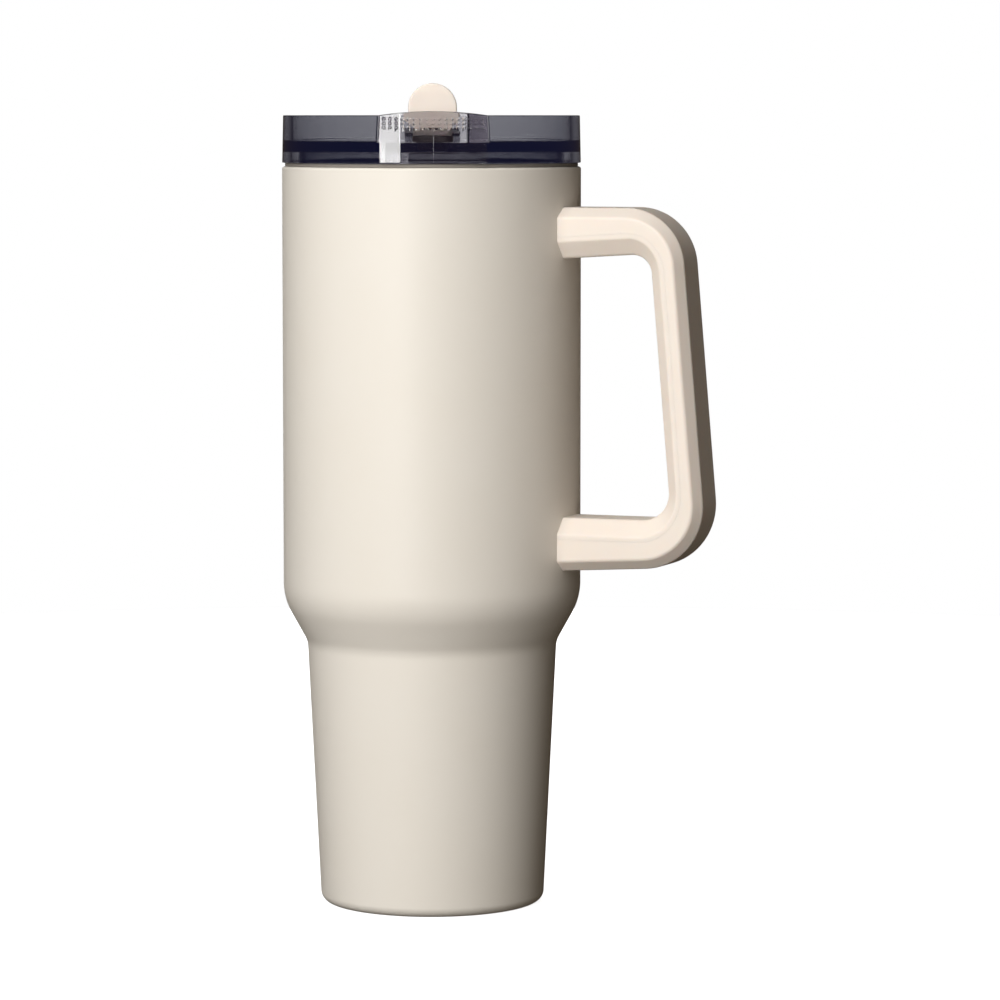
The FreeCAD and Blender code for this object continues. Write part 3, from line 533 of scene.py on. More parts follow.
@dataclass(frozen=True)
class SmokedPlastic:
    """Tinted styrene-acrylonitrile, moulded clear: smoke grey where thin, navy to black along it, with a
    painted navy glow in its volume.
    """

    name: str
    absorb: str
    density: float
    # colour of the glow painted into the volume: light that the plastic gives off though it is no lamp
    glow: str = "#0E1128"
    polish: float = 0.0
    rough: float = 0.02
    ior: float = 1.56

    def make(self) -> bpy.types.Material:
        """Build the material.

        Returns:
            The new material.
        """
        material, tree, shader, place = new_material(self.name)
        shader.inputs["Base Color"].default_value = (1.0, 1.0, 1.0, 1.0)
        shader.inputs["Transmission Weight"].default_value = 1.0
        shader.inputs["IOR"].default_value = self.ior
        tree.links.new(ramp(tree, noise(tree, place, 5.0), self.rough, self.rough + 0.03),
                       shader.inputs["Roughness"])
        flow = add_node(tree, "ShaderNodeBump", None,
                        {"Strength": 0.06, "Distance": 0.0002, "Height": noise(tree, place, 9.0, 1.0)})
        tree.links.new(flow.outputs[0], shader.inputs["Normal"])
        shader.inputs["Coat Weight"].default_value = self.polish
        shader.inputs["Coat Roughness"].default_value = 0.02
        body = add_node(tree, "ShaderNodeVolumeAbsorption", None,
                        {"Color": linear(self.absorb), "Density": self.density})
        # painted glow: the volume gives off navy light of its own, as strong as its density, so it shows only
        # where the piece is thick
        painted_navy_glow = add_node(tree, "ShaderNodeEmission", None,
                             {"Color": linear(self.glow), "Strength": self.density})
        both = add_node(tree, "ShaderNodeAddShader", None, {0: body.outputs[0], 1: painted_navy_glow.outputs[0]})
        tree.links.new(both.outputs[0], tree.nodes["Material Output"].inputs["Volume"])
        return material


@dataclass(frozen=True)
class TurnedSteel:
    """Stainless steel sheet spun on a lathe: fine rings round the axis that stretch its highlights."""

    name: str = "spun_stainless_steel"
    colour: str = "#C9C6C1"
    rough: float = 0.30
    ring: float = 0.35      # ring spacing, drawn coarser than the real 0.1 mm

    def make(self) -> bpy.types.Material:
        """Build the material.

        Returns:
            The new material.
        """
        material, tree, shader, place = new_material(self.name)
        parts = add_node(tree, "ShaderNodeSeparateXYZ", None, {"Vector": place})
        across = add_node(tree, "ShaderNodeVectorMath", {"operation": "MULTIPLY"},
                          {0: place, 1: (1.0, 1.0, 0.0)})
        radius = add_node(tree, "ShaderNodeVectorMath", {"operation": "LENGTH"}, {0: across.outputs[0]})
        rings = add_node(tree, "ShaderNodeCombineXYZ", None,
                         {"X": radius.outputs["Value"], "Y": parts.outputs["Z"]})
        lines = noise(tree, rings.outputs[0], self.ring, 3.0, 0.7)
        shader.inputs["Base Color"].default_value = linear(self.colour)
        shader.inputs["Metallic"].default_value = 1.0
        tree.links.new(ramp(tree, lines, self.rough - 0.1, self.rough + 0.12), shader.inputs["Roughness"])
        bump = add_node(tree, "ShaderNodeBump", None,
                        {"Strength": 0.10, "Distance": 0.00004, "Height": lines})
        tree.links.new(bump.outputs[0], shader.inputs["Normal"])
        return material


@dataclass(frozen=True)
class PlainFinish:
    """A small part's finish: one colour broken up by a fine grain."""

    name: str
    colour: str
    rough: float
    metallic: float = 0.0
    grain: float = 0.6

    def make(self) -> bpy.types.Material:
        """Build the material.

        Returns:
            The new material.
        """
        material, tree, shader, place = new_material(self.name)
        shader.inputs["Base Color"].default_value = linear(self.colour)
        shader.inputs["Metallic"].default_value = self.metallic
        grain = noise(tree, place, self.grain, 2.0)
        tree.links.new(ramp(tree, grain, self.rough - 0.06, self.rough + 0.08), shader.inputs["Roughness"])
        bump = add_node(tree, "ShaderNodeBump", None,
                        {"Strength": 0.15, "Distance": 0.00005, "Height": grain})
        tree.links.new(bump.outputs[0], shader.inputs["Normal"])
        return material


class Finishes:
    """Every finish of the tumbler, built once."""

    def __init__(self) -> None:
        """Build the materials."""
        self.coat = PowderCoat().make()
        self.cream = MouldedPlastic().make()
        # both smoked finishes carry a painted glow in their volume, in the colour given fourth
        self.smoke = SmokedPlastic("smoked_san", "#1A2044", 245.0).make()
        self.spout = SmokedPlastic("smoked_san_spout", "#583F66", 260.0, "#0E0C1C", 1.0).make()
        self.steel = TurnedSteel().make()
        # drawn steel wire, headed and tumbled: bright, with a hard small highlight
        self.bright = PlainFinish("bright_steel_wire", "#BDBDC0", 0.22, 1.0).make()
        # moulded silicone rubber: warm grey and dull, with a soft wide highlight
        self.silicone = PlainFinish("grey_silicone", "#8A847D", 0.55).make()
        # solder glass that melted over the hole: nearly black and glossy
        self.solder = PlainFinish("solder_glass", "#2B2824", 0.2).make()
        # pressed and sintered metal powder: dark, matt and grainy
        self.getter = PlainFinish("sintered_getter", "#5A5754", 0.7, 0.6).make()


def dress(item: bpy.types.Object, material: bpy.types.Material) -> None:
    """Give an object one material."""
    item.data.materials.clear()
    item.data.materials.append(material)


def place(item: bpy.types.Object, body: Body, slot: str, nodes: Sequence[str],
          material: bpy.types.Material) -> None:
    """Dress a finished piece, let it ride on its body and stand for its nodes, and report it.

    Args:
        item: The piece.
        body: The body that it rides on.
        slot: A material slot's name; not used.
        nodes: CAD nodes that it stands for.
        material: Its finish.
    """
    dress(item, material)
    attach(item, body.value)
    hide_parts(*nodes)
    LOG.info("%s: %d faces, rides on %s", item.name, len(item.data.polygons), body.value)


# ---------------------------------------------------------------- vessel
@dataclass
class Vessel:
    """Double wall of the tumbler: outer shell, liner with its bowl, and the cover under the foot."""

    sheet: float = 0.5
    shoulder_height: float = 103.1
    waist_radius: float = 41.95
    waist_height: float = 88.6
    foot_radius: float = 37.55
    shoulder_round: float = 21.0
    waist_round: float = 8.5
    foot_round: float = 3.5
    rim_round: float = 1.0
    rim_lip: float = 1.8
    foot_ring: float = 4.55
    vacuum_gap: float = 3.0
    mouth_inset: float = 3.2
    mouth_depth: float = 16.0
    mouth_step: float = 3.0
    sheared_edge: float = 0.15
    fine_edge: float = 0.1
    lip_root: float = 0.45
    flange_root: float = 0.2
    flange_gap: float = 0.05
    bore_round: float = 9.0
    step_round: float = 1.0
    mouth_round: float = 0.35
    bowl_lean: float = 0.5
    bowl_round: float = 7.0
    cover_margin: float = 0.6
    cover_round: float = 0.35
    cover_fold: float = 0.3
    cover_steps: int = 90
    ring_places: tuple[float, float] = (0.48, 0.82)
    ring_height: float = 0.25
    ring_half: float = 1.0
    brace: float = 0.6
    shell_turn: int = 288
    liner_turn: int = 224
    bottom_turn: int = 160

    @property
    def slope(self) -> float:
        """Lean of the shoulder's cone from upright, in radians."""
        return math.atan2(SHELL_RADIUS - self.waist_radius, self.shoulder_height - self.waist_height)

    @property
    def taper(self) -> float:
        """Lean of the foot's wall from upright, in radians."""
        return math.atan2(self.waist_radius - self.foot_radius, self.waist_height)

    def shell(self) -> bpy.types.Object:
        """Outer shell: the outside's corners, then the same corners one sheet further in, all rounded.

        Returns:
            The new object.
        """
        sheet, hole = self.sheet, self.foot_radius - self.foot_round - self.foot_ring
        inner_shoulder = self.shoulder_height + sheet * math.tan(self.slope / 2)
        inner_waist = self.waist_height + sheet * math.tan((self.slope + self.taper) / 2)
        corners = [
            (hole, 0), (self.foot_radius, 0), (self.waist_radius, self.waist_height),
            (SHELL_RADIUS, self.shoulder_height), (SHELL_RADIUS, RIM), (SHELL_RADIUS - self.rim_lip, RIM),
            (SHELL_RADIUS - self.rim_lip, RIM - sheet), (SHELL_RADIUS - sheet, RIM - sheet),
            (SHELL_RADIUS - sheet, inner_shoulder), (self.waist_radius - sheet, inner_waist),
            (self.foot_radius - sheet, sheet), (hole, sheet)]
        radii = [self.sheared_edge, self.foot_round, self.waist_round, self.shoulder_round, self.rim_round,
                 self.sheared_edge, self.fine_edge, self.lip_root, self.shoulder_round - sheet,
                 self.waist_round + sheet, self.foot_round - sheet, self.sheared_edge]
        return lathe("vessel_shell", braced(rounded(corners, radii, step=3.0), self.brace), self.shell_turn)

    def bore(self, depth: float) -> tuple[tuple[float, float], tuple[float, float]]:
        """The liner's shoulder and waist corners, moved in from the shell by depth.

        Args:
            depth: Distance from the outside of the shell.

        Returns:
            The two corners as (radius, height).
        """
        mean, half = (self.slope + self.taper) / 2, (self.slope - self.taper) / 2
        shoulder = (SHELL_RADIUS - depth, self.shoulder_height + depth * math.tan(self.slope / 2))
        waist = (self.waist_radius - depth * math.cos(mean) / math.cos(half),
                 self.waist_height + depth * math.sin(mean) / math.cos(half))
        return shoulder, waist

    def liner(self) -> bpy.types.Object:
        """Liner tube: flange inside the rim's lip, mouth, step, bore, cone and lower part.

        Returns:
            The new object.
        """
        sheet, mouth = self.sheet, SHELL_RADIUS - self.mouth_inset
        step_top = RIM - self.mouth_depth
        step_low = step_top - self.mouth_step
        flange = SHELL_RADIUS - self.rim_lip - self.flange_gap
        outside, inside = self.bore(sheet + self.vacuum_gap), self.bore(2 * sheet + self.vacuum_gap)
        low = float(node_low("inner_liner")[2])
        low_radius = float(node_high("liner_bottom")[1])
        corners = [
            (flange, RIM), (flange, RIM - sheet), (mouth + sheet, RIM - sheet), (mouth + sheet, step_top),
            (outside[0][0], step_low), outside[0], outside[1], (low_radius, low), (low_radius - sheet, low),
            inside[1], inside[0], (inside[0][0], step_low), (mouth, step_top), (mouth, RIM)]
        radii = [self.sheared_edge, self.fine_edge, self.flange_root, self.step_round, self.step_round,
                 self.bore_round, self.bore_round - sheet, self.fine_edge, self.fine_edge, self.bore_round,
                 self.bore_round - sheet, self.step_round + sheet, self.step_round + sheet, self.mouth_round]
        return lathe("liner_tube", braced(rounded(corners, radii, step=5.0), self.brace), self.liner_turn)

    def bowl(self) -> bpy.types.Object:
        """Liner's bottom: a shallow bowl whose inside floor is very slightly crowned, as a pressed one is.

        Returns:
            The new object.
        """
        low, high = node_low("liner_bottom"), node_high("liner_bottom")
        outside, sheet = float(high[1]), self.sheet
        corner = outside - self.bowl_lean
        corners = [(0, low[2]), (corner, low[2]), (outside, high[2]), (outside - sheet, high[2]),
                   (corner - sheet, low[2] + sheet), (0, low[2] + sheet)]
        radii = [0, self.bowl_round, self.fine_edge, self.fine_edge, self.bowl_round - sheet, 0]
        return lathe("liner_bowl", braced(rounded(corners, radii, step=5.0), self.brace), self.bottom_turn)

    def cover(self) -> bpy.types.Object:
        """Cover under the foot: a pressed disc with two raised rings.

        Between its edge and the axis the face rises over two rings, each ring_height times a raised cosine
        that is twice ring_half wide.

        Returns:
            The new object.
        """
        low, high = node_low("base_cover"), node_high("base_cover")
        edge, sheet = float(high[1]), self.sheet
        flat = edge - self.cover_margin
        radius = np.linspace(0, flat, self.cover_steps)
        away = np.abs(radius[:, None] - edge * np.array(self.ring_places)) / self.ring_half
        rings = self.ring_height * np.where(away < 1, 0.5 + 0.5 * np.cos(np.pi * away), 0).sum(axis=1)
        under = np.stack([radius, low[2] + rings], axis=1)
        side = rounded([(flat, low[2]), (edge, low[2]), (edge, high[2]), (edge - sheet, high[2]),
                        (edge - sheet, low[2] + sheet + self.cover_fold)],
                       [0, self.cover_round, self.fine_edge, self.fine_edge, 0], closed=False)
        back = np.stack([radius, low[2] + sheet + rings], axis=1)[::-1]
        return lathe("foot_cover", np.concatenate([under, side[1:-1], back]), self.bottom_turn)

    def build(self, finishes: Finishes) -> None:
        """Make the vessel's pieces and dress the CAD pieces sealed between its walls.

        Args:
            finishes: The finishes.
        """
        place(self.shell(), Body.VESSEL, "powder_coat", ["outer_shell"], finishes.coat)
        place(self.liner(), Body.VESSEL, "bare_steel", ["inner_liner"], finishes.steel)
        place(self.bowl(), Body.VESSEL, "bare_steel", ["liner_bottom"], finishes.steel)
        place(self.cover(), Body.VESSEL, "bare_steel", ["base_cover"], finishes.steel)
        for node, material in (("vacuum_base", finishes.steel), ("seal_bead", finishes.solder),
                               ("getter", finishes.getter), ("upper_handle_bracket", finishes.steel),
                               ("lower_handle_bracket", finishes.steel), ("handle_screws", finishes.bright)):
            dress(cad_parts[node], material)


# ---------------------------------------------------------------- handle
@dataclass
class Handle:
    """Side handle: a C of eight-sided section in two halves that meet just outside the inner bevel."""

    vessel: Vessel
    half_width: float = 11.0
    across_bevel: float = 4.0
    drop: float = 13.2
    root_depth_top: float = 17.0
    bend_depth_top: float = 15.05
    clear: float = 11.2
    rise: float = 3.0
    root_depth_low: float = 17.9
    reach_top: float = 40.1
    reach_low: float = 50.18
    grip_depth: float = 11.55
    outer_bends: tuple[float, float] = (20.0, 21.0)
    inner_bends: tuple[float, float] = (6.5, 9.0)
    outer_bevel_arm: float = 3.3
    outer_bevel_grip: float = 2.7
    inner_bevel_arm: float = 5.5
    inner_bevel_grip: float = 4.2
    edge: float = 1.5
    seam: float = 0.02
    seam_back: float = 1.6
    seam_edge: float = 0.03
    arc_steps: int = 6
    brace: float = 0.3
    fit: float = 0.1
    root_inset: float = 1.6
    seat_clear: float = 0.25
    crease: float = 40.0
    stations: tuple[int, ...] = (26, 18, 40, 18, 26)

    def paths(self) -> tuple[np.ndarray, np.ndarray, np.ndarray]:
        """Matched points along the outside and the hand gap's side, from the upper root to the lower.

        Each path is arm, arc, grip, arc, arm with the same number of points in each stretch. The third array
        goes from 0 on the arms to 1 on the grip.

        Returns:
            The outside, the hand gap's side and the share of the grip, a row for each station.
        """
        top = RIM - self.drop
        low = self.vessel.shoulder_height + self.clear
        high_reach, low_reach = SHELL_RADIUS + self.reach_top, SHELL_RADIUS + self.reach_low
        root = SHELL_RADIUS - self.root_inset
        low_out = low + self.rise
        lean = (low_reach - high_reach) / (top - low_out)
        stretch = math.hypot(1, lean)

        def inside(height: float) -> float:
            """How far the grip's inner side stands from the axis at a height."""
            return high_reach + lean * (top - height) - self.grip_depth * stretch

        outer = [(root, top), (high_reach, top), (low_reach, low_out), (root, low)]
        bend_top, arm_low = top - self.bend_depth_top, low + self.root_depth_low
        inner = [(root, top - self.root_depth_top), (inside(bend_top), bend_top), (inside(arm_low), arm_low),
                 (root, arm_low)]
        return self.sampled(outer, self.outer_bends), self.sampled(inner, self.inner_bends), self.grip_share()

    def sampled(self, corners: Sequence[tuple[float, float]], bends: tuple[float, float]) -> np.ndarray:
        """Points along line, arc, line, arc, line through four corners, as many in each as stations says.

        Args:
            corners: The four corners.
            bends: Radius at the second and at the third corner.

        Returns:
            The points, one row each.
        """
        points = np.array(corners, dtype=float)
        pieces = []
        last = points[0]
        for i, radius in enumerate(bends, start=1):
            arc = corner_arc(points[i - 1], points[i], points[i + 1], radius)
            line = np.linspace(0, 1, self.stations[2 * i - 2], endpoint=False)[:, None]
            pieces.append(last + (arc.centre + arc.start - last) * line)
            pieces.append(arc.points(np.linspace(0, 1, self.stations[2 * i - 1], endpoint=False)))
            last = arc.centre + arc.end
        line = np.linspace(0, 1, self.stations[-1])[:, None]
        pieces.append(last + (points[-1] - last) * line)
        return np.concatenate(pieces)

    def grip_share(self) -> np.ndarray:
        """How much each station belongs to the grip: 0 on the arms, easing to 1 round the bends as a cosine.

        Returns:
            The shares, one for each station.
        """
        arm_top, bend_top, grip, bend_low, arm_low = self.stations
        up = 0.5 - 0.5 * np.cos(np.pi * np.linspace(0, 1, bend_top, endpoint=False))
        down = 0.5 + 0.5 * np.cos(np.pi * np.linspace(0, 1, bend_low, endpoint=False))
        return np.concatenate([np.zeros(arm_top), up, np.ones(grip), down, np.zeros(arm_low)])

    def section(self, depth: float, grip: float, outer_half: bool) -> np.ndarray:
        """One half's closed section at a station.

        Args:
            depth: The handle's depth there.
            grip: 0 on an arm, 1 on the grip.
            outer_half: Which half.

        Returns:
            Points as (depth from the outside, distance across), with rounded and braced corners.
        """
        outer = self.outer_bevel_arm + (self.outer_bevel_grip - self.outer_bevel_arm) * grip
        inner = self.inner_bevel_arm + (self.inner_bevel_grip - self.inner_bevel_arm) * grip
        half, flat = self.half_width, self.half_width - self.across_bevel
        fold = depth - inner
        joint = fold - self.seam_back
        if outer_half:
            end = joint - self.seam / 2
            corners = [(0, -flat), (outer, -half), (end, -half), (end, half), (outer, half), (0, flat)]
            radii = [self.edge, self.edge, self.seam_edge, self.seam_edge, self.edge, self.edge]
        else:
            end = joint + self.seam / 2
            corners = [(end, -half), (fold, -half), (depth, -flat), (depth, flat), (fold, half), (end, half)]
            radii = [self.seam_edge, self.edge, self.edge, self.edge, self.edge, self.seam_edge]
        arcs = rounded(corners, radii, fixed=self.arc_steps).reshape(len(corners), self.arc_steps + 1, 2)
        start, end = arcs[:, -1:], np.roll(arcs, -1, axis=0)[:, :1]
        share = self.brace / np.maximum(np.linalg.norm(end - start, axis=2, keepdims=True), 4 * self.brace)
        return np.concatenate([arcs, start + (end - start) * share, end + (start - end) * share],
                              axis=1).reshape(-1, 2)

    def half_mesh(self, name: str, outer_half: bool) -> bpy.types.Object:
        """Loft one half along the handle.

        A section point at (depth s, across y) of station k lies at outside_k + (inside_k - outside_k) s /
        depth_k in the XZ plane and at y across it. On the first and last stations x is moved onto the shell, to
        the square root of (shell radius + fit) squared less y squared.

        Args:
            name: Name of the object.
            outer_half: Which half.

        Returns:
            The new object.
        """
        outer, inner, grip = self.paths()
        depth = np.linalg.norm(inner - outer, axis=1)
        sections = np.stack([self.section(d, g, outer_half) for d, g in zip(depth, grip)])
        share = (sections[:, :, 0] / depth[:, None])[:, :, None]
        plane = outer[:, None, :] + (inner - outer)[:, None, :] * share
        points = np.stack([plane[:, :, 0], sections[:, :, 1], plane[:, :, 1]], axis=-1)
        seat = np.sqrt((SHELL_RADIUS + self.fit) ** 2 - points[0, :, 1] ** 2)
        for station, neighbour in ((0, 1), (-1, -2)):
            points[station, :, 0] = seat
            points[neighbour, :, 0] = np.maximum(points[neighbour, :, 0], seat + self.seat_clear)
        rows, columns = points.shape[:2]
        faces = grid_faces(rows, columns, False, True).tolist()
        faces.append(list(range(columns)))
        faces.append(list(range((rows - 1) * columns, rows * columns)))
        return smooth(mesh_object(name, points.reshape(-1, 3), faces), self.crease)

    def build(self, finishes: Finishes) -> None:
        """Make both halves.

        Args:
            finishes: The finishes.
        """
        for name, node, outer_half in (("handle_outer_half", "handle_shell", True),
                                       ("handle_inner_half", "handle_inner_cover", False)):
            place(self.half_mesh(name, outer_half), Body.VESSEL, "cream_plastic", [node], finishes.cream)


# ---------------------------------------------------------------- lid
@dataclass
class Lid:
    """Smoked lid: cup-shaped moulding, silicone ring, and the spout block with its dotted grip band."""

    top: float = RIM + 17.0
    top_inset: float = 0.4
    bottom_inset: float = 0.05
    wall: float = 3.2
    deck_drop: float = 8.9
    deck: float = 3.0
    bowl_round: float = 0.6
    mouth_inset: float = 3.2
    seal_space: float = 2.2
    spigot_wall: float = 2.0
    spigot_depth: float = 10.0
    bead: float = 0.8
    bead_depth: float = 1.2
    face_inset: float = 0.1
    face_radius: float = 70.0
    spout_depth: float = 8.4
    spout_top: float = 17.6
    spout_bottom: float = 18.4
    spout_wall: float = 2.2
    rise: float = 1.3
    channel: float = 11.5
    fit: float = 0.1
    hinge_setback: float = 11.5
    hinge_rise: float = 2.8
    opening: tuple[float, float] = (11.4, 7.4)
    opening_ahead: float = 8.5
    lug_inside: float = 6.0
    lug_outside: float = 8.2
    lug_radius: float = 2.0
    vent: tuple[float, float] = (27.0, 1.5)
    band_height: float = 4.7
    dot_pitch: tuple[float, float] = (2.0, 1.4)
    dot_radius: float = 0.58
    dot_side: float = 0.24
    dot_depth: float = 0.2
    opening_round: float = 3.0
    cup_turn: int = 256
    cup_brace: float = 0.3
    hole_edge: float = 0.05
    vent_steps: int = 24
    past: float = 1.0
    far: float = 60.0
    channel_round: float = 1.0
    channel_length: float = 20.0
    channel_over: float = 6.0
    lug_sink: float = 0.6
    lug_steps: int = 13
    block_edge: float = 0.35
    block_columns: int = 401
    block_rows: int = 24
    band_rows: int = 62
    band_margin: float = 0.2
    side_columns: tuple[float, ...] = (-0.997, -0.99, 0.99, 0.997)
    end_rows: tuple[float, ...] = (0.004, 0.012, 0.988, 0.996)
    band_side: float = 0.9
    band_top: float = 0.4
    line_depth: float = 0.05
    line_half: float = 0.03
    flange: float = 1.2
    flange_inset: float = 1.0
    skirt: float = 1.2
    lip_gap: float = 0.15
    lips: int = 3
    lip_drops: tuple[float, float, float] = (0.44, 0.77, 1.1)
    ring_turn: int = 224
    ring_brace: float = 0.15

    @property
    def deck_top(self) -> float:
        """Height of the deck's upper face."""
        return self.top - self.deck_drop

    @property
    def spigot(self) -> float:
        """Outside radius of the spigot."""
        return SHELL_RADIUS - self.mouth_inset - self.seal_space

    @property
    def face(self) -> float:
        """Distance of the spout's face from the axis, at its middle."""
        return SHELL_RADIUS - self.face_inset

    @property
    def hinge(self) -> tuple[float, float]:
        """The tab's pin in the lid's own frame, as (y, z)."""
        return -(self.face - self.spout_depth - self.hinge_setback), self.deck_top + self.hinge_rise

    def cup(self) -> bpy.types.Object:
        """Wall, recess, deck and spigot in one turned outline, cut for the spout, the opening and the vent.

        Returns:
            The new object.
        """
        top_radius, low_radius = SHELL_RADIUS - self.top_inset, SHELL_RADIUS - self.bottom_inset
        deck_low, spigot_low = self.deck_top - self.deck, RIM - self.spigot_depth
        bore, bead = self.spigot - self.spigot_wall, self.spigot + self.bead
        bead_high = spigot_low + self.bead_depth
        corners = [
            (0, deck_low), (bore, deck_low), (bore, spigot_low), (bead, spigot_low), (bead, bead_high),
            (self.spigot, bead_high), (self.spigot, deck_low), (low_radius - self.wall, deck_low),
            (low_radius - self.wall, LID_FOOT),
            (low_radius, LID_FOOT), (top_radius, self.top), (top_radius - self.wall, self.top),
            (top_radius - self.wall, self.deck_top), (0, self.deck_top)]
        # one moulding radius per corner, in the same order
        radii = [0, 0.6, 0.3, 0.4, 0.2, 0.1, 0.3, 0.3, 0.15, 0.25, 0.35, 0.3, self.bowl_round, 0]
        cup = lathe("lid_cup", braced(rounded(corners, radii, step=9.0), self.cup_brace), self.cup_turn)

        low, high = deck_low - self.past, self.deck_top + self.past
        cutters = [self.silhouette("cut_slot", self.face - self.spout_wall - self.fit, LID_FOOT - self.past),
                   self.silhouette("cut_pocket", self.face - self.spout_depth - self.fit, self.deck_top)]
        middle = self.hinge[0] - self.opening_ahead
        wide, long = self.opening[0] / 2, self.opening[1] / 2
        hole = rounded(rectangle(wide, middle - long, middle + long), [self.opening_round] * 4, step=12.0)
        cutters.append(plate("cut_opening", hole, low, high, self.hole_edge, Plane.TOP, 1))
        angle = np.linspace(0, 2 * np.pi, self.vent_steps, endpoint=False)
        vent = np.stack([np.cos(angle), np.sin(angle)], axis=1) * self.vent[1] + [0, self.vent[0]]
        cutters.append(plate("cut_vent", vent, low, high, self.hole_edge, Plane.TOP, 1))
        cup = combine(cup, cutters, "DIFFERENCE")
        return combine(cup, [self.lug(-1), self.lug(1)], "UNION")

    def silhouette(self, name: str, back: float, low: float) -> bpy.types.Object:
        """A prism with the spout's front outline grown by fit, running outwards from back.

        Args:
            name: Name of the object.
            back: Distance of its back from the axis.
            low: Height of its underside.

        Returns:
            The new object.
        """
        high = self.top + self.rise + self.fit + self.past
        taper = (self.spout_bottom - self.spout_top) / (self.top + self.rise - LID_FOOT)
        wide_low = self.spout_bottom + self.fit - taper * (low - LID_FOOT)
        wide_high = self.spout_bottom + self.fit - taper * (high - LID_FOOT)
        points = [(x, y, z) for y in (-back, -self.far)
                  for x, z in ((-wide_low, low), (wide_low, low), (wide_high, high), (-wide_high, high))]
        faces = [(0, 1, 2, 3), (7, 6, 5, 4), (0, 4, 5, 1), (1, 5, 6, 2), (2, 6, 7, 3), (3, 7, 4, 0)]
        return mesh_object(name, np.array(points, dtype=float), faces)

    def lug(self, side: int) -> bpy.types.Object:
        """One hinge lug: a block rounded over the pin, its outline in the YZ plane run across X.

        Args:
            side: -1 for the left lug, 1 for the right one.

        Returns:
            The new object.
        """
        y, z = self.hinge
        angle = np.linspace(0, np.pi, self.lug_steps)
        arc = np.stack([y + self.lug_radius * np.cos(angle), z + self.lug_radius * np.sin(angle)], axis=1)
        root = self.deck_top - self.lug_sink
        outline = np.concatenate([[[y + self.lug_radius, root]], arc, [[y - self.lug_radius, root]]])
        count = len(outline)
        sides = [np.column_stack([np.full(count, side * x), outline])
                 for x in (self.lug_inside, self.lug_outside)]
        faces = grid_faces(2, count, False, True).tolist()
        faces += [list(range(count))[::-1], list(range(count, 2 * count))]
        return mesh_object("lug", np.concatenate(sides), faces)

    def block(self) -> bpy.types.Object:
        """Spout block: a curved front with dimples, a flat back, and a channel cut behind its front wall.

        For a point across x and share v up the block, the height is foot + v (top(x) - foot), where top(x) is
        the lid's top plus rise (1 - (x / half width) squared). The front lies at -face + radius - the square
        root of (radius squared - x squared), and is moved back by the depth of each dimple. Near its edges it
        falls back along a quarter circle of radius block_edge, and a fine upright line runs up its middle.

        Returns:
            The new object.
        """
        columns = np.unique(np.concatenate([np.linspace(-1, 1, self.block_columns), self.side_columns]))
        band = 1 - (self.band_height + self.band_margin) / (self.top - LID_FOOT)
        rows = np.unique(np.concatenate([np.linspace(0, band, self.block_rows),
                                         np.linspace(band, 1, self.band_rows), self.end_rows]))
        across, up = np.meshgrid(columns, rows)
        half_width = self.spout_bottom + (self.spout_top - self.spout_bottom) * up
        x = across * half_width
        z = LID_FOOT + up * (self.top + self.rise * (1 - across ** 2) - LID_FOOT)
        curve = self.face_radius - np.sqrt(self.face_radius ** 2 - x ** 2)
        margin = np.minimum.reduce([(1 - np.abs(across)) * half_width, z - LID_FOOT,
                                    (1 - up) * (self.top - LID_FOOT)])
        roll = self.block_edge * (1 - np.sqrt(1 - np.clip(1 - margin / self.block_edge, 0, 1) ** 2))
        line = self.line_depth * (np.abs(x) < self.line_half) * (z < self.top - self.band_height)
        front = np.stack([x, -self.face + curve + roll + line + self.dimples(x, z), z], axis=-1)
        back = front.copy()
        back[:, :, 1] = -(self.face - self.spout_depth)
        count_rows, count_columns = x.shape
        total = count_rows * count_columns
        number = np.arange(total).reshape(count_rows, count_columns)
        border = np.concatenate([number[0, :-1], number[:-1, -1], number[-1, :0:-1], number[:0:-1, 0]])
        rim = total + np.arange(len(border))
        faces = grid_faces(count_rows, count_columns, False, False).tolist()
        faces += np.stack([border, np.roll(border, -1), np.roll(rim, -1), rim], axis=1).tolist()
        faces.append(rim.tolist())
        points = np.concatenate([front.reshape(-1, 3), back.reshape(-1, 3)[border]])
        block = mesh_object("spout_block", points, faces)
        inner = -(self.face - self.spout_wall)
        channel = rounded(rectangle(self.channel, inner, inner + self.channel_length),
                          [self.channel_round, self.channel_round, 0, 0], step=15.0)
        under = np.array(rectangle(self.far, inner, 0.0))
        high, low = self.top + self.channel_over, LID_FOOT - 2 * self.past
        cutters = [plate("cut_channel", channel, self.deck_top, high, FINE_CUT, Plane.TOP, 1),
                   plate("cut_under", under, low, self.deck_top, FINE_CUT, Plane.TOP, 1)]
        return combine(block, cutters, "DIFFERENCE")

    def dimples(self, x: np.ndarray, z: np.ndarray) -> np.ndarray:
        """Depth of the grip band at points of the front: a grid of round pits.

        A pit is dot_depth deep over a flat bottom, with a side that rises evenly over dot_side and ends at
        dot_radius.

        Args:
            x: Distances across.
            z: Heights.

        Returns:
            Depths, in the shape of x.
        """
        pitch_x, pitch_z = self.dot_pitch
        low, high = self.top - self.band_height, self.top - self.band_top
        row = np.floor((z - low) / pitch_z)
        offset_x = (x + pitch_x / 2) % pitch_x - pitch_x / 2
        offset_z = (z - low) - (row + 0.5) * pitch_z
        share = (self.dot_radius - np.hypot(offset_x, offset_z)) / self.dot_side
        inside = (z > low) & (z < high) & (np.abs(x) < self.spout_top - self.band_side)
        return self.dot_depth * np.clip(share, 0, 1) * inside

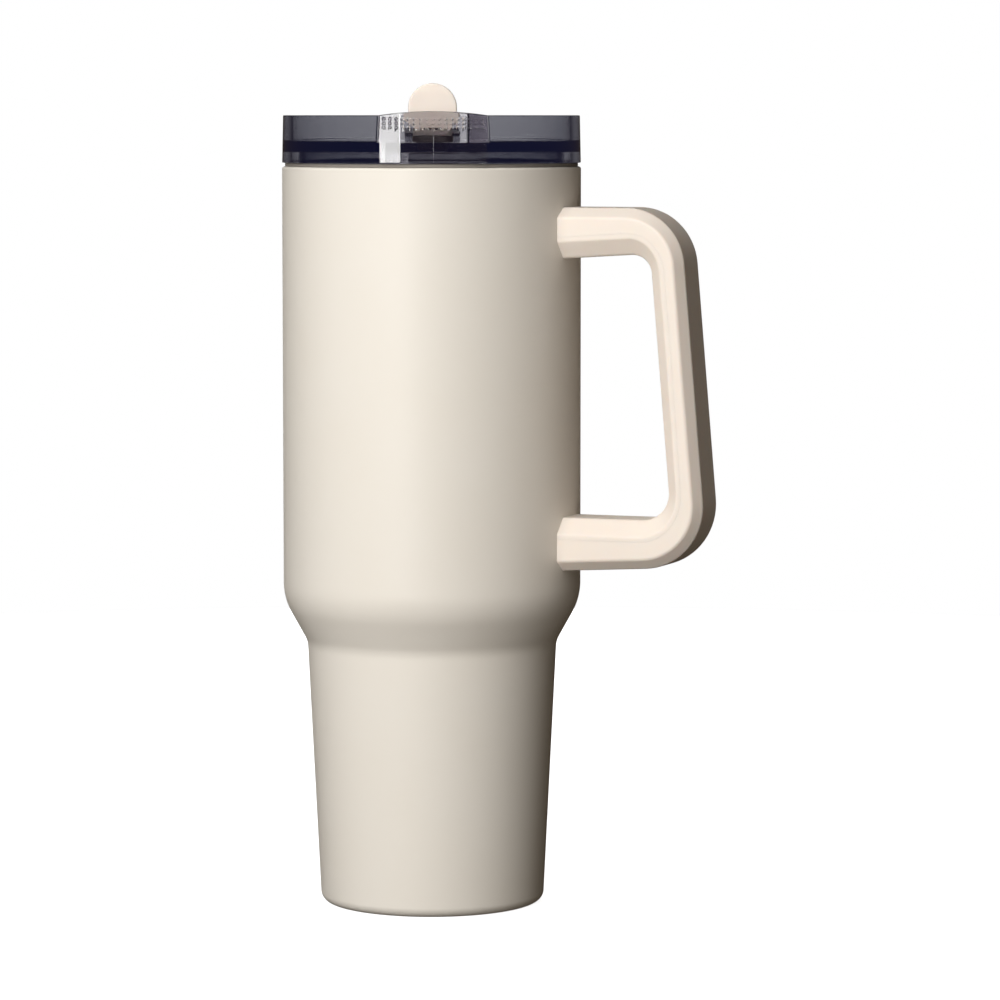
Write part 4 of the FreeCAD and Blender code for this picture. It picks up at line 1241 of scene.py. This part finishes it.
    def ring(self) -> bpy.types.Object:
        """Silicone ring: flange on the rim, skirt on the spigot, and three lips that point down and out.

        Returns:
            The new object.
        """
        flange_low, flange_edge = LID_FOOT - self.flange, SHELL_RADIUS - self.flange_inset
        skirt, lip = self.spigot + self.skirt, SHELL_RADIUS - self.mouth_inset - self.lip_gap
        low = RIM - self.spigot_depth + self.bead_depth
        pitch = (flange_low - low) / self.lips
        corners = [(self.spigot, low), (self.spigot, LID_FOOT), (flange_edge, LID_FOOT),
                   (flange_edge, flange_low), (skirt, flange_low)]
        radii = [0.1, 0.1, 0.3, 0.3, 0.2]
        tip_high, tip_low, heel = self.lip_drops
        for number in range(self.lips):
            root = flange_low - pitch * (number + 0.5)
            corners += [(skirt, root), (lip, root - tip_high), (lip, root - tip_low), (skirt, root - heel)]
            radii += [0.15, 0.12, 0.12, 0.15]
        corners.append((skirt, low))
        radii.append(0.2)
        outline = braced(rounded(corners, radii, step=20.0), self.ring_brace)
        return lathe("silicone_ring", outline, self.ring_turn)

    def build(self, finishes: Finishes) -> None:
        """Make the lid's pieces.

        Args:
            finishes: The finishes.
        """
        place(turn_lid(self.cup()), Body.LID, "lid_plastic", ["lid_body"], finishes.smoke)
        place(turn_lid(self.block()), Body.LID, "spout_plastic", ["spout_insert"], finishes.spout)
        place(self.ring(), Body.LID, "silicone", ["lid_seal"], finishes.silicone)
        dress(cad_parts["hinge_pin"], finishes.bright)


@dataclass
class Tab:
    """Flip tab: upright plate with a half-round head, barrel on the pin, foot, and the stopper under it."""

    lid: Lid
    head: float = 8.0
    stem: float = 5.75
    thickness: float = 2.4
    rise: float = 16.59
    stem_rise: float = 2.4
    flare: float = 2.0
    edge: float = 0.5
    barrel: float = 2.1
    foot_length: float = 13.3
    foot_thickness: float = 1.8
    foot_rise: float = 1.3
    stem_drop: float = 1.0
    stem_round: float = 0.95
    flare_round: float = 1.6
    head_steps: int = 33
    barrel_steps: int = 40
    barrel_chamfer: float = 0.3
    foot_round: float = 1.6
    foot_edge: float = 0.35
    deck_gap: float = 0.1
    plug_gap: float = 0.25
    plug_depth: float = 2.6
    plug_rise: float = 0.5
    plug_round: float = 2.7
    plug_bevel: float = 1.2
    flange_reach: float = 0.85
    flange_round: float = 3.5
    flange_edge: float = 0.5
    neck: float = 2.0
    neck_sink: float = 0.6
    neck_rise: float = 0.3
    neck_edge: float = 0.05
    button: float = 2.8
    button_height: float = 0.8
    button_edge: float = 0.38
    round_gap: float = 0.01

    def lever(self) -> bpy.types.Object:
        """Plate, barrel and foot, united.

        Returns:
            The new object.
        """
        y, z = self.lid.hinge
        widen, middle = z + self.stem_rise, z + self.rise - self.head
        full, stem_low = widen + self.flare, z - self.stem_drop
        angle = np.linspace(0, np.pi, self.head_steps)
        arc = np.stack([self.head * np.cos(angle), middle + self.head * np.sin(angle)], axis=1)
        radii = [0, self.flare_round, self.stem_round, self.stem_round, self.flare_round, 0]
        low = rounded([(-self.head, full), (-self.stem, widen), (-self.stem, stem_low), (self.stem, stem_low),
                       (self.stem, widen), (self.head, full)], radii, closed=False)
        outline = np.concatenate([low, arc])
        upright = plate("flip_lever", outline, y - self.thickness / 2, y + self.thickness / 2, self.edge,
                        Plane.FRONT, 5)

        turn = np.linspace(0, 2 * np.pi, self.barrel_steps, endpoint=False)[:, None]
        shoulder = self.stem - self.barrel_chamfer
        along = np.array([-self.stem, -self.stem, -shoulder, shoulder, self.stem, self.stem])
        rim = self.barrel - self.barrel_chamfer
        radius = np.array([0, rim, self.barrel, self.barrel, rim, 0])
        points = np.stack([along + 0 * turn, y + radius * np.cos(turn), z + radius * np.sin(turn)], axis=-1)
        barrel = mesh_object("barrel", points.reshape(-1, 3),
                             grid_faces(self.barrel_steps, len(along), True, False).tolist())

        foot_top = z + self.foot_rise
        foot = rounded(rectangle(self.stem, y - self.foot_length, y),
                       [self.foot_round, self.foot_round, 0, 0], step=12.0)
        sole = plate("foot", foot, foot_top - self.foot_thickness, foot_top, self.foot_edge, Plane.TOP, 3)
        return combine(upright, [barrel, sole], "UNION")

    def pad(self, name: str, half: tuple[float, float], corner: float, span: tuple[float, float],
            edge: float) -> bpy.types.Object:
        """One level of the stopper: a rounded rectangle over the middle of the drinking opening.

        Args:
            name: Name of the object.
            half: Half of its width and half of its length.
            corner: Radius of its corners.
            span: Heights of its underside and top.
            edge: Radius of its edges.

        Returns:
            The new object.
        """
        middle = self.lid.hinge[0] - self.lid.opening_ahead
        outline = rounded(rectangle(half[0], middle - half[1], middle + half[1]), [corner] * 4, step=10.0)
        return plate(name, outline, span[0], span[1], edge, Plane.TOP, 4)

    def stopper(self) -> bpy.types.Object:
        """Silicone stopper: bevelled plug, flange, neck through the foot, and the button that holds it.

        Returns:
            The new object.
        """
        deck = self.lid.deck_top + self.deck_gap
        foot_top = self.lid.hinge[1] + self.foot_rise
        foot_low = foot_top - self.foot_thickness
        wide, long = self.lid.opening[0] / 2 - self.plug_gap, self.lid.opening[1] / 2 - self.plug_gap
        plug = self.pad("stopper_pad", (wide, long), self.plug_round,
                        (deck - self.plug_depth, deck + self.plug_rise), self.plug_bevel)
        flange = self.pad("flange", (wide + self.flange_reach, long + self.flange_reach), self.flange_round,
                          (deck, foot_low), self.flange_edge)
        neck = self.pad("neck", (self.neck, self.neck), self.neck - self.round_gap,
                        (foot_low - self.neck_sink, foot_top + self.neck_rise), self.neck_edge)
        button = self.pad("button", (self.button, self.button), self.button - self.round_gap,
                          (foot_top, foot_top + self.button_height), self.button_edge)
        return combine(plug, [flange, neck, button], "UNION")

    def build(self, finishes: Finishes) -> None:
        """Make the tab's pieces.

        Args:
            finishes: The finishes.
        """
        place(turn_lid(self.lever()), Body.TAB, "cream_plastic", ["flip_tab"], finishes.cream)
        place(turn_lid(self.stopper()), Body.TAB, "silicone", ["tab_stopper"], finishes.silicone)


# ---------------------------------------------------------------- stage
class LightUse(Enum):
    """What a studio light does: soft light and reflections, or soft light only."""

    ALL = "all"
    FILL = "fill"


@dataclass(frozen=True)
class Softbox:
    """One rectangular light, aimed at a point on the vessel's axis."""

    name: str
    turn: float                     # degrees right of the camera
    lift: float                     # degrees above the horizontal through its aim
    distance: float                 # metres from its aim
    size: tuple[float, float]       # width and height in metres
    power: float                    # watts
    colour: str
    aim: float                      # metres above the table
    use: LightUse


SOFTBOXES = (
    # the key is narrow, so that glossy walls mirror one upright strip; its wing widens the soft light only
    Softbox("key_softbox", -21.7, 18.0, 1.2, (0.27, 1.15), 7.3, "#FFFEFC", 0.26, LightUse.ALL),
    Softbox("key_wing", -40.0, 20.0, 1.2, (0.45, 1.1), 5.6, "#FFFEFC", 0.26, LightUse.FILL),
    Softbox("front_fill", -8.0, 14.0, 1.3, (0.6, 0.9), 3.3, "#FFFEFA", 0.24, LightUse.FILL),
    Softbox("side_fill", -75.0, 10.0, 1.3, (0.6, 0.9), 1.4, "#FFFEFA", 0.22, LightUse.FILL),
    # a low strip stands for the light that the table throws up under the shoulder
    Softbox("table_bounce", 5.0, -4.0, 0.7, (0.9, 0.08), 0.7, "#FFFAF2", 0.1, LightUse.FILL),
    Softbox("top_softbox", -10.0, 78.0, 1.3, (0.9, 0.9), 3.0, "#FFFFFF", 0.2, LightUse.ALL),
    # this one only serves views from behind
    Softbox("back_softbox", 190.0, 12.0, 1.6, (1.0, 1.0), 15.0, "#FFFFFF", 0.15, LightUse.FILL),
)


@dataclass
class Studio:
    """Camera, lights and floor. Angles are round Z from the camera's own direction, positive to its right."""

    azimuth: float = 21.0
    pitch: float = 4.92
    distance: float = 1500.0
    shift_right: float = 22.9
    eye: float = 265.0
    lens: float = 160.9
    sensor: float = 36.0
    backdrop: tuple[float, float] = (16.0, 40.0)
    glow: str = "#FFDCB0"
    glow_strength: float = 0.04
    floor_radius: float = 900.0
    floor_drop: float = 0.02
    floor_steps: int = 96

    def direction(self, turn: float, lift: float) -> Vector:
        """Unit vector from the object towards a light that stands turn degrees right of the camera.

        Args:
            turn: Degrees right of the camera.
            lift: Degrees above the horizontal.

        Returns:
            The unit vector.
        """
        angle, rise = math.radians(self.azimuth + turn), math.radians(lift)
        return Vector((math.sin(angle) * math.cos(rise), -math.cos(angle) * math.cos(rise), math.sin(rise)))

    def camera(self) -> None:
        """Make the camera."""
        angle = math.radians(self.azimuth)
        data = bpy.data.cameras.new("camera")
        data.lens, data.sensor_width = self.lens, self.sensor
        data.clip_start, data.clip_end = 0.05, 50.0
        item = bpy.data.objects.new("camera", data)
        bpy.context.scene.collection.objects.link(item)
        right = Vector((math.cos(angle), math.sin(angle), 0))
        back = Vector((math.sin(angle), -math.cos(angle), 0))
        item.location = (back * self.distance + right * self.shift_right + Vector((0, 0, self.eye))) * MM
        item.rotation_euler = (math.radians(90 - self.pitch), 0, angle)
        bpy.context.scene.camera = item

    def panel(self, box: Softbox) -> None:
        """Add one softbox.

        Args:
            box: The softbox.
        """
        data = bpy.data.lights.new(box.name, "AREA")
        data.shape, data.size, data.size_y = "RECTANGLE", box.size[0], box.size[1]
        data.energy, data.color = box.power, linear(box.colour)[:3]
        item = bpy.data.objects.new(box.name, data)
        bpy.context.scene.collection.objects.link(item)
        towards = self.direction(box.turn, box.lift)
        item.location = Vector((0, 0, box.aim)) + towards * box.distance
        item.rotation_euler = towards.to_track_quat("Z", "Y").to_euler()
        item.visible_camera = False
        item.visible_transmission = item.visible_glossy = box.use is LightUse.ALL

    def world(self) -> None:
        """White sky behind everything, but only a weak warm glow as light, so that the far side is deep."""
        world = bpy.data.worlds.new("studio")
        bpy.context.scene.world = world
        world.use_nodes = True
        tree = world.node_tree
        tree.nodes.clear()
        ray = add_node(tree, "ShaderNodeLightPath")
        away = add_node(tree, "ShaderNodeTexCoord")
        forward = -self.direction(0, 0)
        ahead = add_node(tree, "ShaderNodeVectorMath", {"operation": "DOT_PRODUCT"},
                         {0: away.outputs["Generated"], 1: tuple(forward)})
        full, none = (math.cos(math.radians(angle)) for angle in self.backdrop)
        width = add_node(tree, "ShaderNodeMapRange", {"interpolation_type": "SMOOTHSTEP"},
                         {"Value": ahead.outputs["Value"], "From Min": none, "From Max": full})
        behind = add_node(tree, "ShaderNodeMath", {"operation": "MULTIPLY"},
                          {0: ray.outputs["Is Transmission Ray"], 1: width.outputs[0]})
        seen = add_node(tree, "ShaderNodeMath", {"operation": "MAXIMUM"},
                        {0: ray.outputs["Is Camera Ray"], 1: behind.outputs[0]})
        glow = add_node(tree, "ShaderNodeBackground", None,
                        {"Color": linear(self.glow), "Strength": self.glow_strength})
        white = add_node(tree, "ShaderNodeBackground", None, {"Color": (1, 1, 1, 1), "Strength": 1.0})
        mix = add_node(tree, "ShaderNodeMixShader", None,
                       {0: seen.outputs[0], 1: glow.outputs[0], 2: white.outputs[0]})
        add_node(tree, "ShaderNodeOutputWorld", None, {"Surface": mix.outputs[0]})

    def floor(self) -> None:
        """Pale round floor that glows to the white of the backdrop and takes only a faint shadow."""
        angle = np.linspace(0, 2 * np.pi, self.floor_steps, endpoint=False)
        circle = np.stack([np.cos(angle), np.sin(angle)], axis=1) * self.floor_radius
        points = np.column_stack([circle, np.full(self.floor_steps, -self.floor_drop)])
        floor = mesh_object("floor", points, [list(range(self.floor_steps))])
        material, _, shader, _ = new_material("pale_floor")
        shader.inputs["Base Color"].default_value = linear("#F4F4F4")
        shader.inputs["Roughness"].default_value = 0.9
        shader.inputs["Specular IOR Level"].default_value = 0.0
        shader.inputs["Emission Color"].default_value = (1, 1, 1, 1)
        shader.inputs["Emission Strength"].default_value = 0.9
        dress(floor, material)
        floor.visible_diffuse = False
        floor.visible_glossy = False

    def build(self) -> None:
        """Set up the whole stage."""
        self.camera()
        self.world()
        self.floor()
        for box in SOFTBOXES:
            self.panel(box)
        bpy.context.scene.view_settings.view_transform = "Standard"


def main() -> None:
    """Build the tumbler and its stage."""
    logging.basicConfig(level=logging.INFO, format="%(message)s", force=True)
    finishes = Finishes()
    vessel, lid = Vessel(), Lid()
    Studio().build()
    vessel.build(finishes)
    Handle(vessel).build(finishes)
    lid.build(finishes)
    Tab(lid).build(finishes)


if __name__ == "__main__":
    main()
